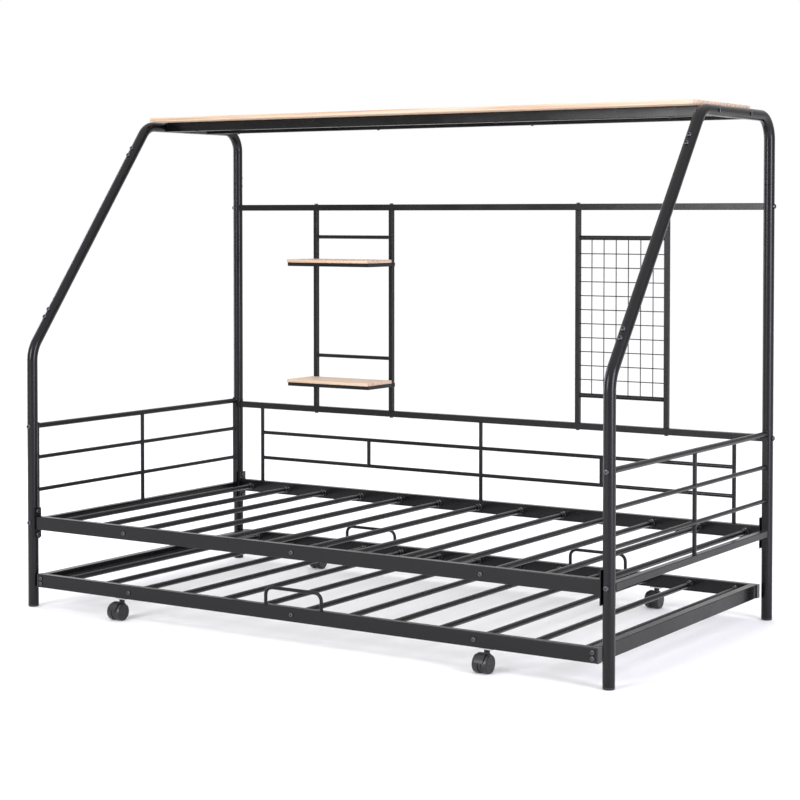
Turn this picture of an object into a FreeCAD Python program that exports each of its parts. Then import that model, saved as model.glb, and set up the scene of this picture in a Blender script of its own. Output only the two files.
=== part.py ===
import FreeCAD, Part

import math
import os
import re
import sys

import Sketcher
from FreeCAD import Placement, Rotation, Vector

# House-frame metal daybed with a roll-out trundle.
# Frame: +X along the length, +Y to the wall side, +Z up, origin on the floor under the middle of the
# bed's overall box. Millimetres.

# ---------------------------------------------------------------- driving dimensions
SIZES = (
    # end frames: two legs, two slanted tubes, two roof bows, two rear posts
    ("post_span_x", 1950, "between the post centres, along the bed"),
    ("post_span_y", 1019, "between the post centres, front to rear"),
    ("post_diameter", 32, "outside diameter of the end frame tube"),
    ("post_wall", 1.5, "wall of the end frame tube"),
    ("leg_bend_height", 780, "corner point of the front leg's bend"),
    ("leg_bend_radius", 100, "front leg bend, on the centreline"),
    ("roof_height", 1475, "centreline of the bow's level run"),
    ("roof_corner_y", 30, "corner point of the bow's front bend, behind the middle"),
    ("roof_front_radius", 70, "bow's front bend, on the centreline"),
    ("roof_rear_radius", 68, "bow's rear bend, on the centreline"),
    ("lower_joint_run", 160, "leg's corner point to the lower joint, along the slope"),
    ("upper_joint_run", 144, "bow's corner point to the upper joint, along the slope"),
    ("rear_joint_height", 1276, "joint between rear post and bow"),
    ("sleeve_length", 110, "inner sleeve at each tube joint"),
    ("sleeve_wall", 1.5, "wall of the inner sleeve"),
    ("sleeve_gap", 0.1, "between sleeve and tube, on the radius"),
    ("joint_bolt_inset", 12, "upper and rear joint to the nearer of its two bolts"),
    ("lower_bolt_inset", 20, "lower joint to the nearer of its two bolts"),
    ("joint_bolt_pitch", 28, "between the two bolts of a joint"),
    ("foot_height", 7, "foot cap below the tube's end"),
    ("foot_plug_depth", 18, "foot cap inside the tube"),
    ("foot_plug_wall", 2.5, "wall of the foot cap's plug"),
    ("foot_chamfer", 1.5, "bottom edge of the foot cap"),
    # end panels
    ("panel_upright_width", 16, "saddle bar that hugs each post"),
    ("panel_upright_depth", 5, "saddle bar beyond the post's surface"),
    ("panel_upright_bottom", 205, "saddle bar's lower end"),
    ("panel_upright_top", 559, "saddle bar's upper end"),
    ("guard_rail_diameter", 16, "top rail of the end panel"),
    ("guard_rail_height", 548, "centre of the top rail"),
    ("guard_bar_diameter", 12, "bars of the end panel and the backrest"),
    ("guard_upper_bar", 452, "centre of the end panel's upper bar"),
    ("guard_lower_bar", 353, "centre of the end panel's lower bar"),
    ("thin_wall", 1.2, "wall of rails, slats and bars"),
    # bed base
    ("rail_height", 40, "height of every bed and trundle rail"),
    ("rail_width", 20, "width of the long rails"),
    ("end_rail_side", 20, "square tube at the end panel's foot"),
    ("rail_corner", 2, "outside corner of rectangular tube"),
    ("bed_rail_bottom", 236, "underside of the bed rails"),
    ("plate_thickness", 3, "end plate of a bed rail"),
    ("plate_width", 30, "end plate, front to rear"),
    ("plate_height", 90, "end plate, tall"),
    ("plate_bolt_offset", 35, "rail centre to each end plate bolt"),
    ("slat_diameter", 16, "round slat"),
    ("slat_count", 13, "slats in each base"),
    ("slats_to_bolt", 4, "every so many slats is a bolted one, counted from the middle"),
    ("slat_margin", 45.2, "bed rail's end to the first slat's centre"),
    ("slat_drop", 1, "slat centre below the rail's centre"),
    ("cap_rim", 4.5, "slat cap's flange beyond the slat"),
    ("cap_flange", 4, "slat cap's flange thickness"),
    ("cap_wall", 2, "wall of the slat cap's sleeve"),
    ("cap_sleeve_length", 14, "slat cap's sleeve beyond the flange"),
    ("slat_nut_length", 20, "threaded plug in a bolted slat"),
    # back rails and backrest
    ("back_rail_side", 20, "square tube of the back rails"),
    ("upper_back_height", 1213, "centre of the upper back rail"),
    ("lower_back_height", 535, "centre of the lower back rail"),
    ("back_upper_bar", 442.5, "centre of the backrest's upper bar"),
    ("back_lower_bar", 356, "centre of the backrest's lower bar"),
    ("backrest_margin", 105, "post centre to the backrest's end spindle"),
    ("short_spindle_shift", 4, "short spindle inward of halfway to the end spindle"),
    # shelf ladder and wire grid
    ("upright_side", 15, "square tube of the ladder and grid uprights"),
    ("ladder_shift", 4.5, "middle of the ladder outward of a quarter of the post span"),
    ("ladder_width", 302, "between the ladder's upright centres"),
    ("ladder_top_bar", 1115, "centre of the ladder's upper crossbar"),
    ("ladder_low_bar", 717, "centre of the ladder's lower crossbar"),
    ("ladder_bar_diameter", 12, "ladder crossbar"),
    ("upper_shelf_height", 1032, "top of the upper shelf's frame"),
    ("lower_shelf_height", 636, "top of the lower shelf's frame"),
    ("shelf_depth", 143, "shelf and its frame, front to rear"),
    ("shelf_overhang", 6, "shelf in front of its frame"),
    ("shelf_frame_height", 12, "shelf frame"),
    ("shelf_sheet", 1.6, "sheet of the shelf frame"),
    ("shelf_lip", 12, "lip of the shelf frame under the board"),
    ("shelf_board_thickness", 10, "shelf board"),
    ("grid_shift", 12, "middle of the grid outward of a quarter of the post span"),
    ("grid_width", 301, "between the grid's upright centres"),
    ("grid_top_bar", 1118, "centre of the grid's upper crossbar"),
    ("grid_low_bar", 631, "centre of the grid's lower crossbar"),
    ("grid_bar_diameter", 14, "grid crossbar"),
    ("wire_diameter", 3, "grid wire"),
    ("wire_rows", 10, "level wires"),
    ("wire_columns", 6, "upright wires"),
    ("wire_row_pitch", 43.2, "between level wires"),
    ("wire_column_pitch", 41.5, "between upright wires"),
    # roof
    ("roof_rail_width", 20, "roof rail, front to rear"),
    ("roof_rail_height", 30, "roof rail, tall"),
    ("roof_front_rail_y", 120, "centre of the front roof rail"),
    ("roof_rear_rail_y", 340, "centre of the rear roof rail"),
    ("roof_board_front_y", 20, "front edge of the roof board"),
    ("roof_board_depth", 390, "roof board, front to rear"),
    ("roof_board_thickness", 12, "roof board"),
    ("roof_board_gap", 3, "between the roof board's end and the bow"),
    # trundle
    ("trundle_side_gap", 9, "post to the trundle's end plug"),
    ("trundle_face_gap", 1.5, "half of what the trundle is narrower than the bed base"),
    ("trundle_y", -2, "middle of the pushed-in trundle"),
    ("swivel_gap", 2, "caster hood's boss to the socket plate"),
    ("trundle_end_width", 25, "width of the trundle's end rails"),
    ("trundle_slat_margin", 68, "trundle's end to the first slat's centre"),
    ("corner_bolt_offset", 8, "rail centre to each corner bolt"),
    ("plug_flange", 2.5, "flange of a trundle rail's end plug"),
    ("plug_depth", 6, "end plug inside the rail"),
    ("retainer_rod", 10, "rod of a mattress retainer"),
    ("retainer_width", 190, "between a retainer's legs"),
    ("retainer_height", 47, "retainer's top centreline above the rail"),
    ("retainer_radius", 22, "retainer's bends, on the centreline"),
    ("retainer_shift", 54, "rear retainer inward of a quarter of the trundle"),
    # casters
    ("caster_inset", 328, "trundle's end to the casters"),
    ("caster_trail", 18, "wheel centre in front of the swivel"),
    ("wheel_diameter", 50, "caster wheel"),
    ("wheel_width", 17, "one of the two wheels of a caster"),
    ("wheel_round", 3, "rim edge of a wheel"),
    ("wheel_dish", 1, "depth of the dish in a wheel's face"),
    ("wheel_rim", 5, "rim around that dish"),
    ("wheel_gap", 1.5, "between wheel and hood web"),
    ("web_thickness", 8, "hood's web between the wheels"),
    ("fender_gap", 1.6, "between wheel rim and fender"),
    ("fender_thickness", 2, "fender"),
    ("fender_width", 26, "fender, across the wheels"),
    ("boss_diameter", 16, "hood's boss around the stem"),
    ("boss_height", 7, "hood's boss, tall"),
    ("stem_diameter", 8, "swivel stem"),
    ("axle_diameter", 5, "wheel axle"),
    ("axle_cover", 3, "wheel face beyond the axle's end"),
    ("turning_gap", 0.3, "clearance of each turning fit, on the radius"),
    ("socket_wall", 1.5, "wall of the caster socket"),
    ("socket_depth", 34, "caster socket above the rail's underside"),
    ("socket_plate", 3, "caster socket's plate under the rail"),
    ("socket_plate_length", 38, "that plate, along the rail"),
    ("socket_plate_width", 18, "that plate, across the rail"),
    # fasteners
    ("bolt_diameter", 8, "thread of the frame's bolts"),
    ("bolt_head_diameter", 14, "head of the frame's bolts"),
    ("bolt_head_height", 4.4, "head of the frame's bolts"),
    ("bolt_head_round", 2.4, "crown of that head"),
    ("bolt_socket", 5, "its hexagon socket, across the flats"),
    ("small_diameter", 6, "thread of the slat, upright and corner bolts"),
    ("small_head_diameter", 12.5, "head of those bolts"),
    ("small_head_height", 3.6, "head of those bolts"),
    ("small_head_round", 2, "crown of that head"),
    ("small_socket", 4, "its hexagon socket, across the flats"),
    ("socket_sink", 2, "depth of a hexagon socket"),
    ("hole_clearance", 0.6, "hole over bolt, on the diameter"),
    ("plug_length", 14, "threaded plug at a rail's or upright's end"),
    ("plug_setback", 1, "plug inside the tube's end"),
    ("screw_diameter", 4, "screw"),
    ("screw_head_diameter", 8, "screw head"),
    ("screw_head_height", 2.4, "screw head"),
    ("screw_head_round", 1.2, "crown of the screw head"),
    ("screw_bite", 8, "screw inside a board"),
    ("screw_inset", 6, "shelf screw from the shelf's edge"),
    ("roof_screw_count", 4, "screws through each roof rail"),
    ("roof_screw_margin", 116, "roof board's end to the first screw"),
)

# ---------------------------------------------------------------- sizes that follow from them
FITS = (
    ("post_x", "post_span_x / 2"),
    ("post_y", "post_span_y / 2"),
    ("post_radius", "post_diameter / 2"),
    ("post_bore", "post_diameter - 2 * post_wall"),
    ("post_inner_x", "post_x - post_radius"),
    ("post_outer_x", "post_x + post_radius"),
    ("bolt_hole", "bolt_diameter + hole_clearance"),
    ("small_hole", "small_diameter + hole_clearance"),
    ("screw_hole", "screw_diameter + hole_clearance"),
    # the slope from leg to roof, as its angle from upright
    ("roof_depth", "post_y - roof_corner_y"),
    ("slope_run", "post_span_y - roof_depth"),
    ("slope_rise", "roof_height - leg_bend_height"),
    ("slope", "atan2(slope_run; slope_rise) / (1 deg)"),
    ("slope_length", "sqrt(slope_run * slope_run + slope_rise * slope_rise)"),
    ("leg_tangent", "leg_bend_radius * tan(slope / 2)"),
    ("leg_straight", "leg_bend_height - foot_height - leg_tangent"),
    ("leg_slant", "lower_joint_run - leg_tangent"),
    ("leg_angle", "90 - slope"),
    ("slant_length", "slope_length - lower_joint_run - upper_joint_run"),
    ("roof_front_tangent", "roof_front_radius * tan((90 - slope) / 2)"),
    ("bow_upright", "roof_height - rear_joint_height - roof_rear_radius"),
    ("bow_level", "roof_depth - roof_rear_radius - roof_front_tangent"),
    ("bow_slant", "upper_joint_run - roof_front_tangent"),
    ("bow_angle", "0 - 90 - slope"),
    ("rear_post_length", "rear_joint_height - foot_height"),
    # the end panels, between saddle bars
    ("saddle_start", "post_radius * 0.6"),
    ("saddle_depth", "post_radius + panel_upright_depth - saddle_start"),
    ("saddle_y", "post_y - saddle_start - saddle_depth / 2"),
    ("saddle_height", "panel_upright_top - panel_upright_bottom"),
    ("panel_inner_y", "post_y - post_radius - panel_upright_depth"),
    ("panel_bolt_reach", "post_diameter + panel_upright_depth + plug_length"),
    # bed base
    ("bed_rail_z", "bed_rail_bottom + rail_height / 2"),
    ("bed_rail_top", "bed_rail_bottom + rail_height"),
    ("end_rail_top", "bed_rail_z + end_rail_side / 2"),
    ("bed_rail_x", "post_inner_x - plate_thickness"),
    ("bed_slat_pitch", "2 * (bed_rail_x - slat_margin) / (slat_count - 1)"),
    ("cap_diameter", "slat_diameter + 2 * cap_rim"),
    ("cap_sleeve_diameter", "slat_diameter + 2 * cap_wall"),
    ("bed_inner_y", "post_y - rail_width / 2"),
    ("bed_outer_y", "post_y + rail_width / 2"),
    ("bed_slat_z", "bed_rail_z - slat_drop"),
    ("bed_slat_y", "bed_inner_y - cap_flange"),
    ("slat_bore", "slat_diameter - 2 * thin_wall"),
    ("slat_bolt_reach", "rail_width + cap_flange + slat_nut_length - 4"),
    ("plate_bolt_reach", "plate_thickness + post_wall + 10"),
    # back rails
    ("back_end_x", "post_x - backrest_margin"),
    ("back_short_x", "back_end_x / 2 - short_spindle_shift"),
    ("back_bolt_reach", "post_diameter + plug_setback + plug_length"),
    ("upright_foot", "lower_back_height + back_rail_side / 2"),
    ("upright_head", "upper_back_height - back_rail_side / 2"),
    ("upright_bolt_reach", "back_rail_side + plug_length"),
    ("back_plug_side", "back_rail_side - 2 * thin_wall"),
    ("upright_plug_side", "upright_side - 2 * thin_wall"),
    ("end_plug_x", "post_inner_x - plug_setback - plug_length / 2"),
    # shelves
    ("ladder_x", "post_span_x / 4 + ladder_shift"),
    ("grid_x", "post_span_x / 4 + grid_shift"),
    ("shelf_half", "(ladder_width + upright_side) / 2 + shelf_sheet"),
    ("shelf_rear_y", "post_y - upright_side / 2"),
    ("shelf_y", "shelf_rear_y - shelf_depth / 2"),
    ("board_y", "shelf_y - shelf_overhang"),
    ("shelf_screw_reach", "shelf_sheet + upright_side"),
    ("board_screw_reach", "shelf_sheet + screw_bite"),
    # roof
    ("roof_rail_top", "roof_height + roof_rail_height / 2"),
    ("roof_rail_under", "roof_height - roof_rail_height / 2"),
    ("roof_screw_reach", "roof_rail_height + screw_bite"),
    ("roof_board_x", "post_inner_x - roof_board_gap"),
    ("roof_screw_pitch", "2 * (roof_board_x - roof_screw_margin) / (roof_screw_count - 1)"),
    # trundle, on its casters
    ("boss_bottom", "wheel_diameter"),
    ("boss_top", "boss_bottom + boss_height"),
    ("trundle_rail_bottom", "boss_top + swivel_gap + socket_plate"),
    ("trundle_length", "2 * (post_inner_x - trundle_side_gap)"),
    ("trundle_width", "post_span_y + rail_width - 2 * trundle_face_gap"),
    ("trundle_slat_pitch", "(trundle_length - 2 * trundle_slat_margin) / (slat_count - 1)"),
    ("retainer_rear_x", "trundle_length / 4 - retainer_shift"),
    ("caster_x", "trundle_length / 2 - caster_inset"),
    ("socket_diameter", "stem_diameter + 2 * socket_wall"),
    ("trundle_rail_z", "trundle_rail_bottom + rail_height / 2"),
    ("trundle_rail_top", "trundle_rail_bottom + rail_height"),
    ("trundle_rail_x", "trundle_length / 2 - plug_flange"),
    ("trundle_front_y", "trundle_y - trundle_width / 2 + rail_width / 2"),
    ("trundle_rear_y", "trundle_y + trundle_width / 2 - rail_width / 2"),
    ("trundle_inner", "trundle_width - 2 * rail_width"),
    ("trundle_end_x", "trundle_rail_x - trundle_end_width / 2"),
    ("corner_bolt_reach", "rail_width + plug_length"),
    ("rod_climb", "retainer_height - retainer_radius"),
    ("rod_level", "retainer_width - 2 * retainer_radius"),
    # casters
    ("wheel_radius", "wheel_diameter / 2"),
    ("wheel_inner_x", "web_thickness / 2 + wheel_gap"),
    ("wheel_outer_x", "wheel_inner_x + wheel_width"),
    ("axle_reach", "wheel_outer_x - axle_cover"),
    ("axle_bore", "axle_diameter + 2 * turning_gap"),
    ("stem_bore", "stem_diameter + 2 * turning_gap"),
    ("fender_inner", "wheel_radius + fender_gap"),
    ("fender_outer", "fender_inner + fender_thickness"),
    ("stem_bottom", "boss_bottom + 1"),
    ("stem_top", "trundle_rail_bottom + socket_depth"),
)

SIZE_NAMES = {row[0] for row in SIZES}
FIT_NAMES = {row[0] for row in FITS}
NAME = re.compile(r"[a-z_]+[a-z_0-9]*")
SIDES = ((-1, "left"), (1, "right"))
ENDS = ((-1, "front"), (1, "rear"))

# Each way that a piece made along its own +Z can face.
FACING = {
    "up": (Vector(1, 0, 0), 0),
    "down": (Vector(1, 0, 0), 180),
    "front": (Vector(1, 0, 0), 90),
    "rear": (Vector(1, 0, 0), -90),
    "right": (Vector(0, 1, 0), 90),
    "left": (Vector(0, 1, 0), -90),
}
AGAINST = {"up": "down", "down": "up", "front": "rear", "rear": "front", "right": "left", "left": "right"}

doc = FreeCAD.newDocument("trundle_bed")
sizes = doc.addObject("Spreadsheet::Sheet", "Sizes")
fits = doc.addObject("Spreadsheet::Sheet", "Fits")
nodes = []


# ---------------------------------------------------------------- helpers
def bound(text, home="other"):
    """An expression in which each size's name is a reference to its cell."""

    def reference(match):
        word = match.group(0)
        if word in SIZE_NAMES:
            return "Sizes." + word
        if word in FIT_NAMES and home != "Fits":
            return "Fits." + word
        return word

    return NAME.sub(reference, str(text))


def fill_sheets():
    for row, (name, value, note) in enumerate(SIZES, 1):
        sizes.set(f"A{row}", str(value))
        sizes.setAlias(f"A{row}", name)
        sizes.set(f"B{row}", "'" + note)
    doc.recompute()
    for row, (name, text) in enumerate(FITS, 1):
        fits.set(f"A{row}", "=" + bound(text, "Fits"))
        fits.setAlias(f"A{row}", name)
    doc.recompute()


def number(name):
    """The value that a size or a fit has now, or the number that a text holds."""
    if name in SIZE_NAMES:
        return float(getattr(sizes, name))
    if name in FIT_NAMES:
        return float(getattr(fits, name))
    return float(name)


def drive(item, **links):
    """Binds properties of an object to expressions of the named sizes."""
    for path, text in links.items():
        item.setExpression(path, bound(text))
    return item


def put(item, at, facing="up"):
    """Places an object at a point given by expressions, facing one of six ways or up the slope."""
    if facing in ("slope", "against_slope"):
        item.Placement = Placement(Vector(), Rotation(Vector(1, 0, 0), 45))
        angle = "90 - slope" if facing == "slope" else "270 - slope"
        item.setExpression("Placement.Rotation.Angle", bound(angle))
    else:
        axis, angle = FACING[facing]
        item.Placement = Placement(Vector(), Rotation(axis, angle))
    for letter, text in zip("xyz", at):
        item.setExpression("Placement.Base." + letter, bound(text))
    return item


def cylinder(name, diameter, length, at, facing="up"):
    """A solid cylinder that starts at a point and runs the way it faces."""
    item = doc.addObject("Part::Cylinder", name)
    drive(item, Radius=f"({diameter}) / 2", Height=length)
    return put(item, at, facing)


def block(name, size, centre):
    """A box given by its three lengths and its centre."""
    item = doc.addObject("Part::Box", name)
    drive(item, Length=size[0], Width=size[1], Height=size[2])
    return put(item, [f"({c}) - ({s}) / 2" for c, s in zip(centre, size)])


def group(name, items):
    item = doc.addObject("Part::Compound", name)
    item.Links = items
    return item


def cut(name, base, tools):
    """The base with every tool taken away."""
    item = doc.addObject("Part::Cut", name)
    item.Base = base
    item.Tool = tools[0] if len(tools) == 1 else group(name + "_tools", tools)
    return item


def fuse(name, items):
    item = doc.addObject("Part::MultiFuse", name)
    item.Shapes = items
    return item


def copies(name, master, places):
    """Linked copies of one object, as a list: places are (point, facing)."""
    made = []
    for index, (at, facing) in enumerate(places):
        link = doc.addObject("App::Link", f"{name}_{index}")
        link.LinkedObject = master
        made.append(put(link, at, facing))
    return made


def pipe(name, diameter, wall, length, at, facing="up"):
    """A straight round tube."""
    outer = cylinder(name + "_outer", diameter, length, at, facing)
    inner = cylinder(name + "_inner", f"{diameter} - 2 * {wall}", length, at, facing)
    return cut(name, outer, [inner])


def plane(body, role):
    return next(p for p in body.Origin.OriginFeatures if p.Role == role)


def sketch_on(body, name, role):
    sketch = body.newObject("Sketcher::SketchObject", name)
    sketch.AttachmentSupport = [(plane(body, role), "")]
    sketch.MapMode = "FlatFace"
    return sketch


def limit(sketch, name, text, *constraint):
    """Adds a named constraint whose value is an expression."""
    index = sketch.addConstraint(Sketcher.Constraint(*constraint))
    sketch.renameConstraint(index, name)
    sketch.setExpression("Constraints." + name, bound(text))


def rectangle(sketch, wide, tall):
    """A rectangle about the sketch's origin."""
    corners = [Vector(-9, -9, 0), Vector(9, -9, 0), Vector(9, 9, 0), Vector(-9, 9, 0)]
    lines = [Part.LineSegment(corners[i], corners[(i + 1) % 4]) for i in range(4)]
    sketch.addGeometry(lines, False)
    for i in range(4):
        sketch.addConstraint(Sketcher.Constraint("Coincident", i, 2, (i + 1) % 4, 1))
        sketch.addConstraint(Sketcher.Constraint("Vertical" if i % 2 else "Horizontal", i))
    sketch.addConstraint(Sketcher.Constraint("Symmetric", 0, 1, 2, 1, -1, 1))
    limit(sketch, "wide", wide, "DistanceX", 0, 1, 0, 2, 18)
    limit(sketch, "tall", tall, "DistanceY", 1, 1, 1, 2, 18)


def ring(sketch, diameters):
    """Circles about the sketch's origin."""
    for index, diameter in enumerate(diameters):
        sketch.addGeometry(Part.Circle(Vector(), Vector(0, 0, 1), 9 - index), False)
        sketch.addConstraint(Sketcher.Constraint("Coincident", index, 3, -1, 1))
        limit(sketch, f"size_{index}", diameter, "Diameter", index, 18 - 2 * index)


def pad(body, name, sketch, length, symmetric=False, backwards=False):
    item = body.newObject("PartDesign::Pad", name)
    item.Profile = sketch
    if symmetric:
        item.SideType = "Symmetric"
    item.Reversed = backwards
    return drive(item, Length=length)


def round_edges(body, name, base, radius, chosen):
    """Fillets those edges of the base that a test picks."""
    doc.recompute()
    names = [f"Edge{i}" for i, edge in enumerate(base.Shape.Edges, 1) if chosen(edge)]
    item = body.newObject("PartDesign::Fillet", name)
    item.Base = (base, names)
    return drive(item, Radius=radius)


def box_tube(name, axis, wide, tall, length, centre):
    """A rectangular tube with rounded outside corners, about its centre, along X, Y or Z."""
    body = doc.addObject("PartDesign::Body", name)
    role = {"x": "YZ_Plane", "y": "XZ_Plane", "z": "XY_Plane"}[axis]
    outside = sketch_on(body, name + "_outside", role)
    rectangle(outside, wide, tall)
    solid = pad(body, name + "_pad", outside, length, symmetric=True)
    along = {"x": Vector(1, 0, 0), "y": Vector(0, 1, 0), "z": Vector(0, 0, 1)}[axis]
    round_edges(
        body, name + "_corners", solid, "rail_corner",
        lambda edge: abs(edge.tangentAt(edge.FirstParameter).dot(along)) > 0.99,
    )
    inside = sketch_on(body, name + "_inside", role)
    rectangle(inside, f"{wide} - 2 * thin_wall", f"{tall} - 2 * thin_wall")
    hollow = body.newObject("PartDesign::Pocket", name + "_hollow")
    hollow.Profile = inside
    hollow.SideType = "Symmetric"
    drive(hollow, Length=f"({length}) + 2")
    return put(body, centre)


def turn(start, end):
    """The signed angle from one heading to the next, in degrees."""
    return (end - start + 180) % 360 - 180


def bent_tube(name, diameters, runs, radii, at, role="YZ_Plane"):
    """A tube or rod along straight runs joined by tangent arcs. It starts upwards at the body's origin;
    runs are (heading from the sketch's X axis, length), and each radius joins two runs."""
    body = doc.addObject("PartDesign::Body", name)
    path = sketch_on(body, name + "_path", role)
    point = Vector()
    joints = []
    line = -1
    for index, (heading, length) in enumerate(runs):
        angle = math.radians(number(heading))
        step = Vector(math.cos(angle), math.sin(angle), 0)
        if index:
            swing = math.radians(turn(number(runs[index - 1][0]), number(heading)))
            radius = number(radii[index - 1])
            side = 1 if swing > 0 else -1
            previous = math.radians(number(runs[index - 1][0]))
            middle = point + Vector(-math.sin(previous), math.cos(previous), 0) * radius * side
            first = previous - side * math.pi / 2
            last = first + swing
            sweep = (first, last) if side > 0 else (last, first)
            path.addGeometry(Part.ArcOfCircle(Part.Circle(middle, Vector(0, 0, 1), radius), *sweep), False)
            arc = path.GeometryCount - 1
            point = middle + Vector(math.cos(last), math.sin(last), 0) * radius
            joints.append((line, arc, side, radii[index - 1]))
        reach = point + step * number(length)
        path.addGeometry(Part.LineSegment(point, reach), False)
        line = path.GeometryCount - 1
        limit(path, f"heading_{index}", heading, "Angle", line, angle)
        limit(path, f"length_{index}", length, "Distance", line, 1, line, 2, number(length))
        point = reach
    path.addConstraint(Sketcher.Constraint("Coincident", 0, 1, -1, 1))
    for index, (before, arc, side, radius) in enumerate(joints):
        near, far = (1, 2) if side > 0 else (2, 1)
        path.addConstraint(Sketcher.Constraint("Tangent", before, 2, arc, near))
        path.addConstraint(Sketcher.Constraint("Tangent", arc, far, arc + 1, 1))
        limit(path, f"radius_{index}", radius, "Radius", arc, number(radius))
    section = sketch_on(body, name + "_section", "XY_Plane")
    ring(section, diameters)
    item = body.newObject("PartDesign::AdditivePipe", name + "_sweep")
    item.Profile = section
    item.Spine = (path, [])
    return put(body, at)


def fastener(name, thread, reach, head, height, crown, hexagon):
    """A bolt or screw: its head stands above the origin and its thread hangs below it."""
    body = doc.addObject("PartDesign::Body", name + "_body")
    outline = sketch_on(body, name + "_head", "XY_Plane")
    ring(outline, [head])
    top = pad(body, name + "_crown", outline, height)
    rounded = round_edges(body, name + "_round", top, crown, lambda edge: edge.BoundBox.ZMin > 0.1)
    body.Tip = rounded
    shaft = sketch_on(body, name + "_thread", "XY_Plane")
    ring(shaft, [thread])
    pad(body, name + "_shank", shaft, reach, backwards=True)
    socket = doc.addObject("Part::Prism", name + "_hexagon")
    socket.Polygon = 6
    drive(socket, Circumradius=f"({hexagon}) / sqrt(3)", Height="bolt_head_height")
    put(socket, ("0", "0", f"{height} - min(socket_sink; {height} / 2)"))
    return cut(name, body, [socket])


def bolt(name, reach):
    return fastener(
        name,
        "bolt_diameter",
        reach,
        "bolt_head_diameter",
        "bolt_head_height",
        "bolt_head_round",
        "bolt_socket",
    )


def small_bolt(name, reach):
    return fastener(
        name,
        "small_diameter",
        reach,
        "small_head_diameter",
        "small_head_height",
        "small_head_round",
        "small_socket",
    )


def screw(name, reach):
    return fastener(
        name, "screw_diameter", reach, "screw_head_diameter", "screw_head_height", "screw_head_round",
        "screw_head_diameter / 4",
    )


def holes(name, places, diameter, reach):
    """Drills that start at each fastener's place and run the way its thread does."""
    drills = []
    for index, (at, facing) in enumerate(places):
        inward = "against_slope" if facing == "slope" else AGAINST[facing]
        drills.append(cylinder(f"{name}_{index}", diameter, reach, at, inward))
    return drills


def node(label, item):
    """Marks an object as one of the part's nodes."""
    item.Label = label
    nodes.append(item)
    return item


# ---------------------------------------------------------------- where the fasteners go
def slope_point(run, lift):
    """A point that far up the slope from the leg's corner, lifted square to the slope."""
    y = f"-post_y + ({run}) * sin(slope) - ({lift}) * cos(slope)"
    z = f"leg_bend_height + ({run}) * cos(slope) + ({lift}) * sin(slope)"
    return y, z


def joint_places(sign):
    """Two bolts at each of an end frame's three joints: below the lower one, above the other two."""
    places = []
    for step in (0, 1):
        y, z = slope_point(f"lower_joint_run - lower_bolt_inset - {step} * joint_bolt_pitch", "post_radius")
        places.append(((f"{sign} * post_x", y, z), "slope"))
    for step in (0, 1):
        run = f"slope_length - upper_joint_run + joint_bolt_inset + {step} * joint_bolt_pitch"
        y, z = slope_point(run, "post_radius")
        places.append(((f"{sign} * post_x", y, z), "slope"))
    for step in (0, 1):
        height = f"rear_joint_height + joint_bolt_inset + {step} * joint_bolt_pitch"
        places.append(((f"{sign} * post_x", "post_y + post_radius", height), "rear"))
    return places


def panel_places(sign):
    """Bolts through the posts into the end panel's top and bottom rails."""
    return [
        ((f"{sign} * post_x", f"{end} * (post_y + post_radius)", height), facing)
        for end, facing in ENDS
        for height in ("guard_rail_height", "bed_rail_z")
    ]


def plate_places(end):
    """Bolts through a bed rail's end plates into the posts."""
    return [
        ((f"{sign} * bed_rail_x", f"{end} * post_y", f"bed_rail_z + {step} * plate_bolt_offset"), facing)
        for sign, facing in ((-1, "right"), (1, "left"))
        for step in (-1, 1)
    ]


def across_places(y, height):
    """Two bolts from outside the end frames into the ends of a rail."""
    return [((f"{sign} * post_outer_x", y, height), facing) for sign, facing in SIDES]


def upright_places(uprights):
    """Bolts down through the upper back rail and up through the lower one, into the uprights."""
    over = f"upright_head + back_rail_side"
    under = f"upright_foot - back_rail_side"
    return [((x, "post_y", over), "up") for x in uprights] + [
        ((x, "post_y", under), "down") for x in uprights
    ]


def slat_numbers():
    """Each slat's place, counted from the middle one."""
    count = int(number("slat_count"))
    return [i - (count - 1) / 2 for i in range(count)]


def bolted_slats():
    step = number("slats_to_bolt")
    return [i for i in slat_numbers() if i % step == 0 and abs(i) <= step]


def slat_bolt_places(pitch, front_y, rear_y, height):
    return [((f"{i} * {pitch}", front_y, height), "front") for i in bolted_slats()] + [
        ((f"{i} * {pitch}", rear_y, height), "rear") for i in bolted_slats()
    ]


LADDER = ("-ladder_x - ladder_width / 2", "-ladder_x + ladder_width / 2")
GRID = ("grid_x - grid_width / 2", "grid_x + grid_width / 2")
SHELVES = ("upper_shelf_height", "lower_shelf_height")


def shelf_places():
    """Screws from the shelf frames' side ears into the ladder's uprights."""
    return [
        ((f"-ladder_x + {sign} * shelf_half", "post_y", f"{top} - shelf_frame_height / 2"), facing)
        for top in SHELVES
        for sign, facing in SIDES
    ]


def shelf_board_places():
    return [
        (
            (
                f"-ladder_x + {sign} * (shelf_half - screw_inset)",
                f"shelf_y + {end} * (shelf_depth / 2 - screw_inset)",
                f"{top} - shelf_sheet",
            ),
            "down",
        )
        for top in SHELVES
        for sign, _ in SIDES
        for end, _ in ENDS
    ]


def roof_board_places(y):
    count = int(number("roof_screw_count"))
    return [
        ((f"{i - (count - 1) / 2} * roof_screw_pitch", y, "roof_rail_under"), "down") for i in range(count)
    ]


def corner_places():
    """Two stacked bolts at each corner of the trundle."""
    return [
        (
            (
                f"{sign} * trundle_end_x",
                f"trundle_y + {end} * trundle_width / 2",
                f"trundle_rail_z + {step} * corner_bolt_offset",
            ),
            facing,
        )
        for sign, _ in SIDES
        for end, facing in ENDS
        for step in (-1, 1)
    ]


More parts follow.
